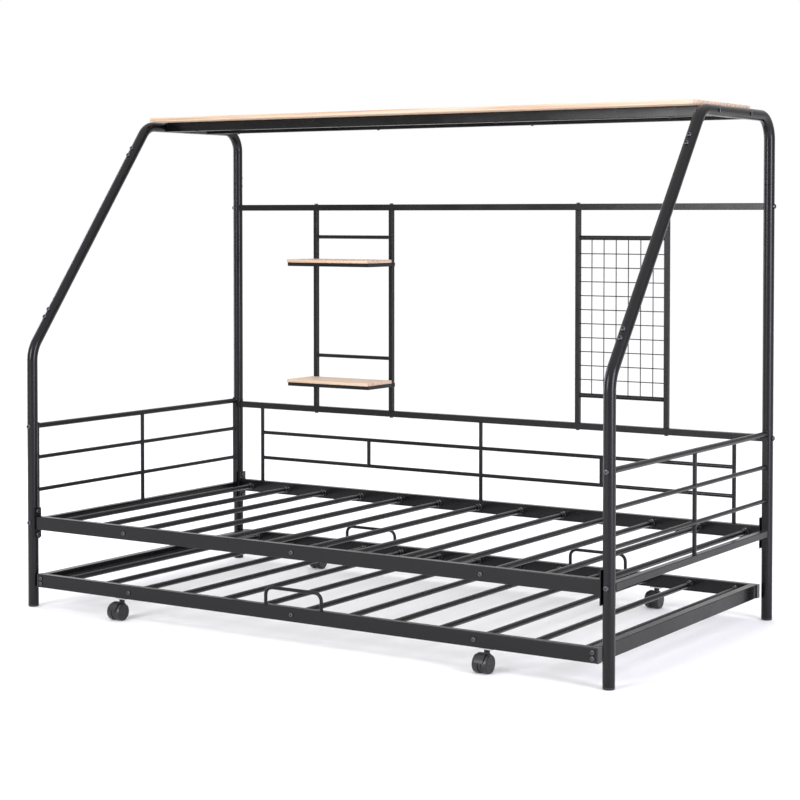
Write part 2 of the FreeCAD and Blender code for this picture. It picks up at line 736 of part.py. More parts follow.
# ---------------------------------------------------------------- end frames
def end_frames():
    sleeves = []
    feet = []
    for sign, side in SIDES:
        x = f"{sign} * post_x"
        joint_drills = holes(f"joint_drill_{side}", joint_places(sign), "bolt_hole", "post_radius")
        panel_drills = holes(f"panel_drill_{side}", panel_places(sign), "bolt_hole", "post_diameter + 1")
        plate_drills = [
            drill
            for end, name in ENDS
            for drill in holes(
                f"plate_drill_{side}_{name}",
                [p for p in plate_places(end) if p[0][0].startswith(str(sign) + " ")],
                "bolt_diameter", "plate_thickness + post_radius",
            )
        ]
        leg = bent_tube(
            f"leg_{side}", ["post_diameter", "post_bore"],
            [("90", "leg_straight"), ("leg_angle", "leg_slant")], ["leg_bend_radius"],
            (x, "-post_y", "foot_height"),
        )
        node(
            f"front_leg_{side}",
            cut(f"front_leg_{side}", leg, joint_drills[:2] + panel_drills[:2] + plate_drills[:2]),
        )
        y, z = slope_point("lower_joint_run", "0")
        slant = pipe(f"slant_{side}", "post_diameter", "post_wall", "slant_length", (x, y, z))
        for part in (slant.Base, slant.Tool):
            part.Placement = Placement(Vector(), Rotation(Vector(1, 0, 0), -30))
            part.setExpression("Placement.Rotation.Angle", bound("360 - slope"))
            part.setExpression("Placement.Base.x", bound(x))
            part.setExpression("Placement.Base.y", bound(y))
            part.setExpression("Placement.Base.z", bound(z))
        node(f"slant_tube_{side}", slant)
        bow = bent_tube(
            f"bow_{side}", ["post_diameter", "post_bore"],
            [("90", "bow_upright"), ("180", "bow_level"), ("bow_angle", "bow_slant")],
            ["roof_rear_radius", "roof_front_radius"],
            (x, "post_y", "rear_joint_height"),
        )
        roof_drills = [
            drill
            for y_rail in ("roof_front_rail_y", "roof_rear_rail_y")
            for drill in holes(
                f"roof_drill_{side}_{y_rail}",
                [p for p in across_places(y_rail, "roof_height") if p[1] == side],
                "bolt_hole", "post_diameter",
            )
        ]
        node(f"roof_bow_{side}", cut(f"roof_bow_{side}", bow, joint_drills[2:] + roof_drills))
        post = pipe(
            f"post_{side}", "post_diameter", "post_wall", "rear_post_length", (x, "post_y", "foot_height")
        )
        back_drills = [
            drill
            for height in ("upper_back_height", "lower_back_height")
            for drill in holes(
                f"back_drill_{side}_{height}",
                [p for p in across_places("post_y", height) if p[1] == side],
                "bolt_hole", "post_diameter",
            )
        ]
        node(
            f"rear_post_{side}",
            cut(
                f"rear_post_{side}", post,
                panel_drills[2:] + plate_drills[2:] + back_drills,
            ),
        )
        sleeves += joint_sleeves(sign, side)
        for end, name in ENDS:
            feet.append(foot_cap(f"foot_{side}_{name}", (x, f"{end} * post_y", "0")))
    node("joint_sleeves", group("joint_sleeves", sleeves))
    node("foot_caps", group("foot_caps", feet))


def joint_sleeves(sign, side):
    """The inner tubes that join an end frame's four tubes, each tapped for two bolts."""
    made = []
    outer = "post_bore - 2 * sleeve_gap"
    taps = holes(f"tap_{side}", joint_places(sign), "bolt_diameter", "post_radius")
    middles = ("lower_joint_run", "slope_length - upper_joint_run")
    for index, run in enumerate(middles):
        y, z = slope_point(f"{run} - sleeve_length / 2", "0")
        parts = [
            cylinder(f"sleeve_{side}_{index}_outer", outer, "sleeve_length", ("0", "0", "0")),
            cylinder(
                f"sleeve_{side}_{index}_bore", f"{outer} - 2 * sleeve_wall", "sleeve_length", ("0", "0", "0")
            ),
        ]
        for part in parts:
            part.Placement = Placement(Vector(), Rotation(Vector(1, 0, 0), -30))
            part.setExpression("Placement.Rotation.Angle", bound("360 - slope"))
            part.setExpression("Placement.Base.x", bound(f"{sign} * post_x"))
            part.setExpression("Placement.Base.y", bound(y))
            part.setExpression("Placement.Base.z", bound(z))
        tube = cut(f"sleeve_{side}_{index}_tube", parts[0], [parts[1]])
        made.append(cut(f"sleeve_{side}_{index}", tube, taps[2 * index : 2 * index + 2]))
    at = (f"{sign} * post_x", "post_y", "rear_joint_height - sleeve_length / 2")
    outside = cylinder(f"sleeve_{side}_rear_outer", outer, "sleeve_length", at)
    bore = cylinder(f"sleeve_{side}_rear_bore", f"{outer} - 2 * sleeve_wall", "sleeve_length", at)
    made.append(cut(f"sleeve_{side}_rear", cut(f"sleeve_{side}_rear_tube", outside, [bore]), taps[4:]))
    return made


def foot_cap(name, at):
    """A plastic cap: a disc the tube stands on, with a hollow plug inside the tube."""
    body = doc.addObject("PartDesign::Body", name)
    disc = sketch_on(body, name + "_disc", "XY_Plane")
    ring(disc, ["post_diameter"])
    base = pad(body, name + "_base", disc, "foot_height")
    bevel = body.newObject("PartDesign::Chamfer", name + "_bevel")
    doc.recompute()
    bottom = [f"Edge{i}" for i, edge in enumerate(base.Shape.Edges, 1) if edge.BoundBox.ZMax < 0.1]
    bevel.Base = (base, bottom)
    drive(bevel, Size="foot_chamfer")
    plug = sketch_on(body, name + "_plug", "XY_Plane")
    ring(plug, ["post_bore", "post_bore - 2 * foot_plug_wall"])
    plug.setExpression("AttachmentOffset.Base.z", bound("foot_height"))
    pad(body, name + "_wall", plug, "foot_plug_depth")
    return put(body, at)


# ---------------------------------------------------------------- end panels
def end_panels():
    saddles = []
    rails = []
    bars = []
    spindles = []
    end_rails = []
    for sign, side in SIDES:
        x = f"{sign} * post_x"
        places = panel_places(sign)
        for index, (end, name) in enumerate(ENDS):
            raw = block(
                f"saddle_{side}_{name}_block",
                ("panel_upright_width", "saddle_depth", "saddle_height"),
                (x, f"{end} * saddle_y", "panel_upright_bottom + saddle_height / 2"),
            )
            post = cylinder(
                f"saddle_{side}_{name}_post", "post_diameter", "panel_upright_top",
                (x, f"{end} * post_y", "panel_upright_bottom / 2"),
            )
            drills = holes(
                f"saddle_{side}_{name}_drill",
                places[2 * index : 2 * index + 2],
                "bolt_hole",
                "panel_bolt_reach",
            )
            saddles.append(cut(f"saddle_{side}_{name}", raw, [post] + drills))
        rails.append(
            pipe(
                f"guard_rail_{side}_tube", "guard_rail_diameter", "thin_wall", "2 * panel_inner_y",
                (x, "-panel_inner_y", "guard_rail_height"), "rear",
            )
        )
        for end, name in ENDS:
            at = (x, f"{end} * panel_inner_y", "guard_rail_height")
            inward = AGAINST[name]
            whole = cylinder(
                f"guard_plug_{side}_{name}_whole",
                "guard_rail_diameter - 2 * thin_wall",
                "plug_length",
                at,
                inward,
            )
            bore = cylinder(f"guard_plug_{side}_{name}_bore", "bolt_diameter", "plug_length", at, inward)
            rails.append(cut(f"guard_plug_{side}_{name}", whole, [bore]))
            nut = block(
                f"end_plug_{side}_{name}_block",
                ("end_rail_side - 2 * thin_wall", "plug_length", "end_rail_side - 2 * thin_wall"),
                (x, f"{end} * (panel_inner_y - plug_length / 2)", "bed_rail_z"),
            )
            tap = cylinder(
                f"end_plug_{side}_{name}_bore", "bolt_diameter", "plug_length",
                (x, f"{end} * panel_inner_y", "bed_rail_z"), inward,
            )
            end_rails.append(cut(f"end_plug_{side}_{name}", nut, [tap]))
        heights = ("guard_lower_bar", "guard_upper_bar")
        for height in heights:
            bars.append(
                pipe(
                    f"guard_bar_{side}_{height}", "guard_bar_diameter", "thin_wall", "2 * panel_inner_y",
                    (x, "-panel_inner_y", height), "rear",
                )
            )
        against = [
            cylinder(
                f"spindle_{side}_{height}", diameter, "guard_rail_height",
                (x, "-guard_rail_height / 2", height), "rear",
            )
            for height, diameter in zip(
                heights + ("guard_rail_height",),
                ("guard_bar_diameter", "guard_bar_diameter", "guard_rail_diameter"),
            )
        ]
        spindle = pipe(
            f"spindle_{side}_tube", "guard_bar_diameter", "thin_wall", "guard_rail_height - end_rail_top",
            (x, "0", "end_rail_top"),
        )
        spindles.append(cut(f"spindle_{side}", spindle, against))
        end_rails.append(
            box_tube(
                f"end_rail_{side}", "y", "end_rail_side", "end_rail_side", "2 * panel_inner_y", (
                    x, "0", "bed_rail_z"
                )
            )
        )
    node("panel_uprights", group("panel_uprights", saddles))
    node("guard_rails", group("guard_rails", rails))
    node("guard_bars", group("guard_bars", bars + spindles))
    node("end_rails", group("end_rails", end_rails))


# ---------------------------------------------------------------- slatted bases
def slatted_base(prefix, pitch, half_length_y, centre_y, height):
    """Slats, their threaded plugs and their caps, between two long rails."""
    length = f"2 * ({half_length_y})"
    tube = pipe(f"{prefix}_slat_master", "slat_diameter", "thin_wall", length, ("0", "0", "0"))
    places = [((f"{i} * {pitch}", f"{centre_y} - ({half_length_y})", height), "rear") for i in slat_numbers()]
    slats = copies(f"{prefix}_slat", tube, places)
    nut = pipe(
        f"{prefix}_nut_master", "slat_bore", "(slat_bore - small_diameter) / 2", "slat_nut_length", (
            "0", "0", "0"
        )
    )
    ends = [
        ((f"{i} * {pitch}", f"{centre_y} + {end} * ({half_length_y})", height), AGAINST[name])
        for i in bolted_slats()
        for end, name in ENDS
    ]
    node(f"{prefix}_slats", group(f"{prefix}_slats", slats + copies(f"{prefix}_nut", nut, ends)))
    caps = [
        ((f"{i} * {pitch}", f"{centre_y} + {end} * ({half_length_y} + cap_flange)", height), AGAINST[name])
        for i in slat_numbers()
        for end, name in ENDS
    ]
    node(f"{prefix}_slat_caps", group(f"{prefix}_slat_caps", copies(f"{prefix}_cap", slat_cap(prefix), caps)))


def slat_cap(prefix):
    """A plastic cap: a flange against the rail and a sleeve around the slat's end."""
    name = f"{prefix}_cap_master"
    body = fuse(
        name + "_body",
        [
            cylinder(name + "_flange", "cap_diameter", "cap_flange", ("0", "0", "0")),
            cylinder(
                name + "_sleeve", "cap_sleeve_diameter", "cap_flange + cap_sleeve_length", ("0", "0", "0")
            ),
        ],
    )
    seat = cylinder(name + "_seat", "slat_diameter", "cap_sleeve_length", ("0", "0", "cap_flange"))
    drill = cylinder(name + "_drill", "small_hole", "cap_flange", ("0", "0", "0"))
    return cut(name, body, [seat, drill])


def bed_base():
    plates = []
    for end, name in ENDS:
        rail = box_tube(
            f"{name}_rail_tube", "x", "rail_width", "rail_height", "2 * bed_rail_x", (
                "0", f"{end} * post_y", "bed_rail_z"
            )
        )
        places = slat_bolt_places("bed_slat_pitch", "-bed_outer_y", "bed_outer_y", "bed_slat_z")
        drills = holes(
            f"{name}_rail_drill", [p for p in places if p[1] == name], "small_hole", "rail_width"
        )
        node(f"{name}_bed_rail", cut(f"{name}_bed_rail", rail, drills))
        for sign, side in SIDES:
            plate = block(
                f"plate_{side}_{name}_blank",
                ("plate_thickness", "plate_width", "plate_height"),
                (f"{sign} * (post_inner_x - plate_thickness / 2)", f"{end} * post_y", "bed_rail_z"),
            )
            drilled = [p for p in plate_places(end) if p[0][0].startswith(str(sign) + " ")]
            plates.append(
                cut(
                    f"plate_{side}_{name}", plate,
                    holes(f"plate_{side}_{name}_drill", drilled, "bolt_hole", "plate_thickness"),
                )
            )
    node("rail_end_plates", group("rail_end_plates", plates))
    slatted_base("bed", "bed_slat_pitch", "bed_slat_y", "0", "bed_slat_z")


# ---------------------------------------------------------------- back
def coped_rail(name, side_y, side_z, y, z, posts, drills):
    """A rectangular rail between the end frames, its ends shaped to the tubes and plugged for a bolt."""
    rail = box_tube(name + "_tube", "x", side_y, side_z, "post_span_x", ("0", y, z))
    made = [cut(name + "_rail", rail, posts + drills)]
    for sign, side in SIDES:
        plug = block(
            f"{name}_{side}_block",
            ("plug_length", f"{side_y} - 2 * thin_wall", f"{side_z} - 2 * thin_wall"),
            (f"{sign} * end_plug_x", y, z),
        )
        bore = cylinder(
            f"{name}_{side}_bore", "bolt_diameter", "plug_length",
            (f"{sign} * end_plug_x - plug_length / 2", y, z), "right",
        )
        made.append(cut(f"{name}_{side}_plug", plug, [bore]))
    return made


def post_pair(name):
    return [
        cylinder(f"{name}_{side}", "post_diameter", "rear_joint_height", (f"{sign} * post_x", "post_y", "0"))
        for sign, side in SIDES
    ]


def back_rails():
    places = upright_places(LADDER + GRID)
    for label, height, facing in (
        ("upper_back_rail", "upper_back_height", "up"),
        ("lower_back_rail", "lower_back_height", "down"),
    ):
        drills = holes(
            label + "_drill", [p for p in places if p[1] == facing], "small_hole", "back_rail_side"
        )
        solids = coped_rail(
            label, "back_rail_side", "back_rail_side", "post_y", height, post_pair(label + "_post"), drills
        )
        node(label, group(label, solids))
    backrest()


def backrest():
    """Two long bars with spindles between the lower back rail and the bed rail."""
    top = "lower_back_height - back_rail_side / 2"
    heights = ("back_lower_bar", "back_upper_bar")
    long_x = ("-back_end_x", "0", "back_end_x")
    made = []
    for height in heights:
        bar = pipe(
            f"back_bar_{height}", "guard_bar_diameter", "thin_wall", "2 * back_end_x",
            ("-back_end_x", "post_y", height), "right",
        )
        ends = [
            cylinder(f"back_cope_{height}_{i}", "guard_bar_diameter", "post_span_y", (x, "post_y", "0"))
            for i, x in enumerate((long_x[0], long_x[2]))
        ]
        made.append(cut(f"back_bar_{height}_coped", bar, ends))
    for index, x in enumerate(long_x):
        spindle = pipe(
            f"back_spindle_{index}_tube", "guard_bar_diameter", "thin_wall", f"{top} - bed_rail_top",
            (x, "post_y", "bed_rail_top"),
        )
        if index == 1:
            spindle = cut(f"back_spindle_{index}", spindle, bar_pair(f"back_spindle_{index}_bar", heights))
        made.append(spindle)
    for sign, side in SIDES:
        short = pipe(
            f"back_short_{side}_tube", "guard_bar_diameter", "thin_wall", "back_upper_bar - back_lower_bar",
            (f"{sign} * back_short_x", "post_y", "back_lower_bar"),
        )
        made.append(cut(f"back_short_{side}", short, bar_pair(f"back_short_{side}_bar", heights)))
    node("backrest_bars", group("backrest_bars", made))


def bar_pair(name, heights):
    return [
        cylinder(
            f"{name}_{height}",
            "guard_bar_diameter",
            "2 * back_end_x",
            ("-back_end_x", "post_y", height),
            "right",
        )
        for height in heights
    ]


def uprights(prefix, places_x, screws):
    """Two square uprights between the back rails, with a threaded plug in each end."""
    made = []
    for index, x in enumerate(places_x):
        name = f"{prefix}_{index}"
        tube = box_tube(
            name + "_tube", "z", "upright_side", "upright_side", "upright_head - upright_foot",
            (x, "post_y", "(upright_foot + upright_head) / 2"),
        )
        drills = holes(name + "_drill", screws, "screw_hole", "shelf_screw_reach") if screws else []
        made.append(cut(name + "_upright", tube, drills) if drills else tube)
        for end, z in (("foot", "upright_foot"), ("head", "upright_head - plug_length")):
            plug = block(
                f"{name}_{end}_block", ("upright_plug_side", "upright_plug_side", "plug_length"),
                (x, "post_y", f"{z} + plug_length / 2"),
            )
            bore = cylinder(f"{name}_{end}_bore", "small_diameter", "plug_length", (x, "post_y", z))
            made.append(cut(f"{name}_{end}_plug", plug, [bore]))
    return made


def shelf_ladder():
    bars = [
        pipe(
            f"ladder_bar_{height}", "ladder_bar_diameter", "thin_wall", "ladder_width - upright_side",
            (f"{LADDER[0]} + upright_side / 2", "post_y", height), "right",
        )
        for height in ("ladder_low_bar", "ladder_top_bar")
    ]
    node("shelf_ladder", group("shelf_ladder", uprights("ladder", LADDER, shelf_places()) + bars))
    frames = []
    boards = []
    for top, name in zip(SHELVES, ("upper", "lower")):
        frames.append(shelf_frame(f"{name}_shelf_frame", top))
        board = block(
            f"{name}_board_blank", ("2 * shelf_half", "shelf_depth", "shelf_board_thickness"),
            ("-ladder_x", "board_y", f"{top} + shelf_board_thickness / 2"),
        )
        here = [p for p in shelf_board_places() if p[0][2].startswith(top)]
        pilots = holes(f"{name}_board_pilot", here, "screw_diameter", "board_screw_reach")
        boards.append(cut(f"{name}_shelf_board", board, pilots))
    node("shelf_frames", group("shelf_frames", frames))
    node("shelf_boards", group("shelf_boards", boards))


def shelf_frame(name, top):
    """A frame of angle: a skirt all round, a lip under the board, and an ear outside each upright."""
    middle = f"{top} - shelf_frame_height / 2"
    outer = block(
        name + "_outer", ("2 * shelf_half", "shelf_depth", "shelf_frame_height"), (
            "-ladder_x", "shelf_y", middle
        )
    )
    ears = [
        block(
            f"{name}_ear_{side}", ("shelf_sheet", "upright_side", "shelf_frame_height"),
            (f"-ladder_x + {sign} * (shelf_half - shelf_sheet / 2)", "post_y", middle),
        )
        for sign, side in SIDES
    ]
    under = block(
        name + "_under",
        ("2 * (shelf_half - shelf_sheet)", "shelf_depth - 2 * shelf_sheet", "shelf_frame_height"),
        ("-ladder_x", "shelf_y", f"{middle} - shelf_sheet"),
    )
    window = block(
        name + "_window",
        ("2 * (shelf_half - shelf_lip)", "shelf_depth - 2 * shelf_lip", "2 * shelf_frame_height"),
        ("-ladder_x", "shelf_y", middle),
    )
    ear_drills = holes(
        name + "_ear_drill",
        [p for p in shelf_places() if p[0][2].startswith(top)],
        "screw_hole",
        "shelf_sheet",
    )
    lip_drills = holes(
        name + "_lip_drill",
        [p for p in shelf_board_places() if p[0][2].startswith(top)],
        "screw_hole",
        "shelf_sheet",
    )
    return cut(name, fuse(name + "_solid", [outer] + ears), [under, window] + ear_drills + lip_drills)


def wire_grid():
    start = f"{GRID[0]} + upright_side / 2"
    span = "grid_width - upright_side"
    bars = []
    solid_bars = []
    for height in ("grid_low_bar", "grid_top_bar"):
        at = (start, "post_y", height)
        bars.append(pipe(f"grid_bar_{height}", "grid_bar_diameter", "thin_wall", span, at, "right"))
        solid_bars.append(cylinder(f"grid_cope_{height}", "grid_bar_diameter", span, at, "right"))
    node("grid_frame", group("grid_frame", uprights("grid", GRID, None) + bars))
    rows = int(number("wire_rows"))
    columns = int(number("wire_columns"))
    wires = [
        cylinder(
            f"wire_row_{i}", "wire_diameter", span,
            (
                start, "post_y - wire_diameter / 2",
                f"(grid_low_bar + grid_top_bar) / 2 + {i - (rows - 1) / 2} * wire_row_pitch",
            ),
            "right",
        )
        for i in range(rows)
    ]
    for i in range(columns):
        wire = cylinder(
            f"wire_column_{i}_long", "wire_diameter", "grid_top_bar - grid_low_bar",
            (
                f"grid_x + {i - (columns - 1) / 2} * wire_column_pitch",
                "post_y + wire_diameter / 2",
                "grid_low_bar",
            ),
        )
        wires.append(cut(f"wire_column_{i}", wire, solid_bars))
    node("grid_wires", group("grid_wires", wires))


# ---------------------------------------------------------------- roof
def roof():
    bows = [
        cylinder(
            f"bow_cope_{side}",
            "post_diameter",
            "post_span_y",
            (f"{sign} * post_x", "-post_y / 2", "roof_height"),
            "rear",
        )
        for sign, side in SIDES
    ]
    rails = []
    for name, y in (("roof_front", "roof_front_rail_y"), ("roof_rear", "roof_rear_rail_y")):
        drills = holes(name + "_drill", roof_board_places(y), "screw_hole", "roof_rail_height")
        rails += coped_rail(name, "roof_rail_width", "roof_rail_height", y, "roof_height", bows, drills)
    node("roof_rails", group("roof_rails", rails))
    board = block(
        "roof_board_blank", ("2 * roof_board_x", "roof_board_depth", "roof_board_thickness"),
        ("0", "roof_board_front_y + roof_board_depth / 2", "roof_rail_top + roof_board_thickness / 2"),
    )
    places = roof_board_places("roof_front_rail_y") + roof_board_places("roof_rear_rail_y")
    node(
        "roof_board",
        cut("roof_board", board, holes("roof_pilot", places, "screw_diameter", "roof_screw_reach")),
    )


# ---------------------------------------------------------------- trundle
CASTERS = tuple(
    (f"{side}_{name}", f"{sign} * caster_x", f"trundle_{name}_y") for sign, side in SIDES for _, name in ENDS
)


def trundle():
    slat_z = "trundle_rail_z"
    faces = {"front": "trundle_front_y - rail_width / 2", "rear": "trundle_rear_y + rail_width / 2"}
    slat_bolts = slat_bolt_places("trundle_slat_pitch", faces["front"], faces["rear"], slat_z)
    for _, name in ENDS:
        rail = box_tube(
            f"trundle_{name}_tube", "x", "rail_width", "rail_height", "2 * trundle_rail_x",
            ("0", f"trundle_{name}_y", "trundle_rail_z"),
        )
        drills = holes(
            f"trundle_{name}_drill",
            [p for p in slat_bolts + corner_places() if p[1] == name],
            "small_hole",
            "rail_width",
        )
        sockets = [
            cylinder(
                f"trundle_{name}_socket_{i}", "socket_diameter", "rail_height / 2", (
                    x, y, "trundle_rail_bottom"
                )
            )
            for i, (corner, x, y) in enumerate(CASTERS)
            if corner.endswith(name)
        ]
        node(f"trundle_{name}_rail", cut(f"trundle_{name}_rail", rail, drills + sockets))
    for sign, side in SIDES:
        x = f"{sign} * trundle_end_x"
        tube = box_tube(
            f"trundle_end_{side}_tube", "y", "trundle_end_width", "rail_height", "trundle_inner",
            (x, "trundle_y", "trundle_rail_z"),
        )
        solids = [tube]
        for end, name in ENDS:
            plug = block(
                f"trundle_nut_{side}_{name}_block",
                ("trundle_end_width - 2 * thin_wall", "plug_length", "rail_height - 2 * thin_wall"),
                (x, f"trundle_y + {end} * (trundle_inner - plug_length) / 2", "trundle_rail_z"),
            )
            taps = holes(
                f"trundle_nut_{side}_{name}_tap",
                [p for p in corner_places() if p[1] == name and p[0][0].startswith(str(sign) + " ")],
                "small_diameter", "corner_bolt_reach",
            )
            solids.append(cut(f"trundle_nut_{side}_{name}", plug, taps))
        node(f"trundle_end_rail_{side}", group(f"trundle_end_rail_{side}", solids))
    slatted_base("trundle", "trundle_slat_pitch", "trundle_inner / 2 - cap_flange", "trundle_y", slat_z)
    trundle_plugs()
    places = (
        ("0", "trundle_front_y"),
        ("-retainer_rear_x", "trundle_rear_y"),
        ("retainer_rear_x", "trundle_rear_y"),
    )
    rod = bent_tube(
        "retainer_master", ["retainer_rod"], [("90", "rod_climb"), ("0", "rod_level"), ("-90", "rod_climb")],
        ["retainer_radius", "retainer_radius"], ("0", "0", "0"), "XZ_Plane",
    )
    rods = copies(
        "retainer", rod, [((f"{x} - retainer_width / 2", y, "trundle_rail_top"), "up") for x, y in places]
    )
    node("retainers", group("retainers", rods))


def trundle_plugs():
    """Plastic end plugs of the trundle's long rails."""
    made = []
    for sign, side in SIDES:
        for _, name in ENDS:
            flange = block(
                f"plug_{side}_{name}_flange", ("plug_flange", "rail_width", "rail_height"),
                (f"{sign} * (trundle_rail_x + plug_flange / 2)", f"trundle_{name}_y", "trundle_rail_z"),
            )
            inner = block(
                f"plug_{side}_{name}_inner",
                ("plug_depth", "rail_width - 2 * thin_wall", "rail_height - 2 * thin_wall"),
                (f"{sign} * (trundle_rail_x - plug_depth / 2)", f"trundle_{name}_y", "trundle_rail_z"),
            )
            made.append(fuse(f"plug_{side}_{name}", [flange, inner]))
    node("trundle_end_plugs", group("trundle_end_plugs", made))


# ---------------------------------------------------------------- casters
def casters():
    sockets = []
    for corner, x, y in CASTERS:
        plate = block(
            f"socket_{corner}_plate", ("socket_plate_length", "socket_plate_width", "socket_plate"),
            (x, y, "trundle_rail_bottom - socket_plate / 2"),
        )
        tube = cylinder(
            f"socket_{corner}_tube", "socket_diameter", "socket_depth + socket_plate",
            (x, y, "trundle_rail_bottom - socket_plate"),
        )
        bore = cylinder(
            f"socket_{corner}_bore", "stem_bore", "socket_depth + socket_plate",
            (x, y, "trundle_rail_bottom - socket_plate"),
        )
        sockets.append(cut(f"socket_{corner}", fuse(f"socket_{corner}_solid", [plate, tube]), [bore]))
    node("caster_sockets", group("caster_sockets", sockets))
    hood = caster_hood()
    pins = caster_pins()
    wheels = caster_wheels()
    for corner, x, y in CASTERS:
        for label, master in (("caster_hood", hood), ("caster_pins", pins), ("caster_wheels", wheels)):
            name = f"{label}_{corner}"
            node(name, group(name, copies(name + "_copy", master, [((x, y, "0"), "up")])))


def caster_hood():
    """The hood, about the swivel axis at floor level: web, riser, fender and boss in one moulding."""
    hub = ("-web_thickness / 2", "-caster_trail", "wheel_radius")
    disc = cylinder("hood_disc", "wheel_diameter - 4", "web_thickness", hub, "right")
    riser = block(
        "hood_riser", ("web_thickness", "caster_trail + boss_diameter / 2", "boss_bottom - wheel_radius"),
        ("0", "(boss_diameter / 2 - caster_trail) / 2", "(boss_bottom + wheel_radius) / 2"),
    )
    boss = cylinder("hood_boss", "boss_diameter", "boss_height", ("0", "0", "boss_bottom"))
    over = cylinder(
        "fender_over", "2 * fender_outer", "fender_width", ("-fender_width / 2", hub[1], hub[2]), "right"
    )
    under = cylinder(
        "fender_under", "2 * fender_inner", "fender_width", ("-fender_width / 2", hub[1], hub[2]), "right"
    )
    below = block(
        "fender_below", ("2 * fender_width", "4 * fender_outer", "2 * fender_outer"),
        ("0", "-caster_trail", "wheel_radius - fender_outer + 6"),
    )
    fender = cut("fender", over, [under, below])
    neck = block(
        "hood_neck", ("web_thickness", "2 * fender_outer", "2 * fender_outer"), (
            "0", "-caster_trail", "wheel_radius"
        )
    )
    rim = cylinder("hood_rim", "2 * fender_outer", "web_thickness", hub, "right")
    bridge_low = block(
        "bridge_below", ("2 * web_thickness", "4 * fender_outer", "2 * fender_outer"),
        ("0", "-caster_trail", "wheel_radius - fender_outer + 6"),
    )
    bridge = cut("hood_bridge", common("hood_rim_neck", rim, neck), [bridge_low])
    solid = fuse("hood_solid", [disc, riser, boss, fender, bridge])
    stem = cylinder("hood_stem_seat", "stem_diameter", "boss_height", ("0", "0", "stem_bottom"))
    axle = cylinder(
        "hood_axle_seat", "axle_diameter", "2 * web_thickness", ("-web_thickness", hub[1], hub[2]), "right"
    )
    return cut("hood_master", solid, [stem, axle])


def common(name, base, tool):
    item = doc.addObject("Part::Common", name)
    item.Base = base
    item.Tool = tool
    return item


def caster_pins():
    """The swivel stem and the axle, both fixed in the hood."""
    stem = cylinder("stem_master", "stem_diameter", "stem_top - stem_bottom", ("0", "0", "stem_bottom"))
    axle = cylinder(
        "axle_master",
        "axle_diameter",
        "2 * axle_reach",
        ("-axle_reach", "-caster_trail", "wheel_radius"),
        "right",
    )
    return group("pins_master", [stem, axle])


def caster_wheels():
    """A pair of wheels with rounded rims, dished faces and blind bores for the axle."""
    made = []
    for _, side in SIDES:
        body = doc.addObject("PartDesign::Body", f"wheel_{side}_body")
        outline = sketch_on(body, f"wheel_{side}_outline", "XY_Plane")
        ring(outline, ["wheel_diameter"])
        disc = pad(body, f"wheel_{side}_disc", outline, "wheel_width")
        body.Tip = round_edges(
            body, f"wheel_{side}_round", disc, "wheel_round", lambda edge: len(edge.Vertexes) == 1
        )
        put(body, ("0", "0", "0"))
        dish = cylinder(
            f"wheel_{side}_dish", "wheel_diameter - 2 * wheel_rim", "wheel_dish", (
                "0", "0", "wheel_width - wheel_dish"
            )
        )
        bore = cylinder(
            f"wheel_{side}_bore", "axle_bore", "wheel_width - axle_cover + turning_gap", ("0", "0", "0")
        )
        master = cut(f"wheel_{side}_master", body, [dish, bore])
        sign = -1 if side == "left" else 1
        at = (f"{sign} * wheel_inner_x", "-caster_trail", "wheel_radius")
        made += copies(f"wheel_{side}", master, [(at, side)])
    return group("wheels_master", made)


# ---------------------------------------------------------------- fasteners
def fasteners():
    both = [sign for sign, _ in SIDES]
    sets = (
        (
            "joint_bolts",
            bolt("joint_bolt", "post_wall + sleeve_wall + 8"),
            [p for s in both for p in joint_places(s)],
        ),
        ("panel_bolts", bolt("panel_bolt", "panel_bolt_reach"), [p for s in both for p in panel_places(s)]),
        (
            "bed_rail_bolts",
            bolt("plate_bolt", "plate_bolt_reach"),
            [p for e, _ in ENDS for p in plate_places(e)],
        ),
        (
            "cross_rail_bolts", bolt("cross_bolt", "back_bolt_reach"),
            [
                place
                for y, height in (
                    ("post_y", "upper_back_height"), ("post_y", "lower_back_height"),
                    ("roof_front_rail_y", "roof_height"), ("roof_rear_rail_y", "roof_height"),
                )
                for place in across_places(y, height)
            ],
        ),
        ("upright_bolts", small_bolt("upright_bolt", "upright_bolt_reach"), upright_places(LADDER + GRID)),
        (
            "bed_slat_bolts", small_bolt("bed_slat_bolt", "slat_bolt_reach"),
            slat_bolt_places("bed_slat_pitch", "-bed_outer_y", "bed_outer_y", "bed_slat_z"),
        ),
    )
    for label, master, places in sets:
        node(label, group(label, copies(label, master, places)))
    shelf = copies("shelf_screw_copy", screw("shelf_screw", "shelf_screw_reach"), shelf_places())
    board = copies("board_screw_copy", screw("board_screw", "board_screw_reach"), shelf_board_places())
    over = roof_board_places("roof_front_rail_y") + roof_board_places("roof_rear_rail_y")
    roof_set = copies("roof_screw_copy", screw("roof_screw", "roof_screw_reach"), over)
    node("shelf_and_board_screws", group("shelf_and_board_screws", shelf + board + roof_set))
    slat = slat_bolt_places(
        "trundle_slat_pitch",
        "trundle_front_y - rail_width / 2",
        "trundle_rear_y + rail_width / 2",
        "trundle_rail_z",
    )
    trundle_set = copies("trundle_slat_bolt_copy", small_bolt("trundle_slat_bolt", "slat_bolt_reach"), slat)
    trundle_set += copies("corner_bolt_copy", small_bolt("corner_bolt", "corner_bolt_reach"), corner_places())
    node("trundle_bolts", group("trundle_bolts", trundle_set))


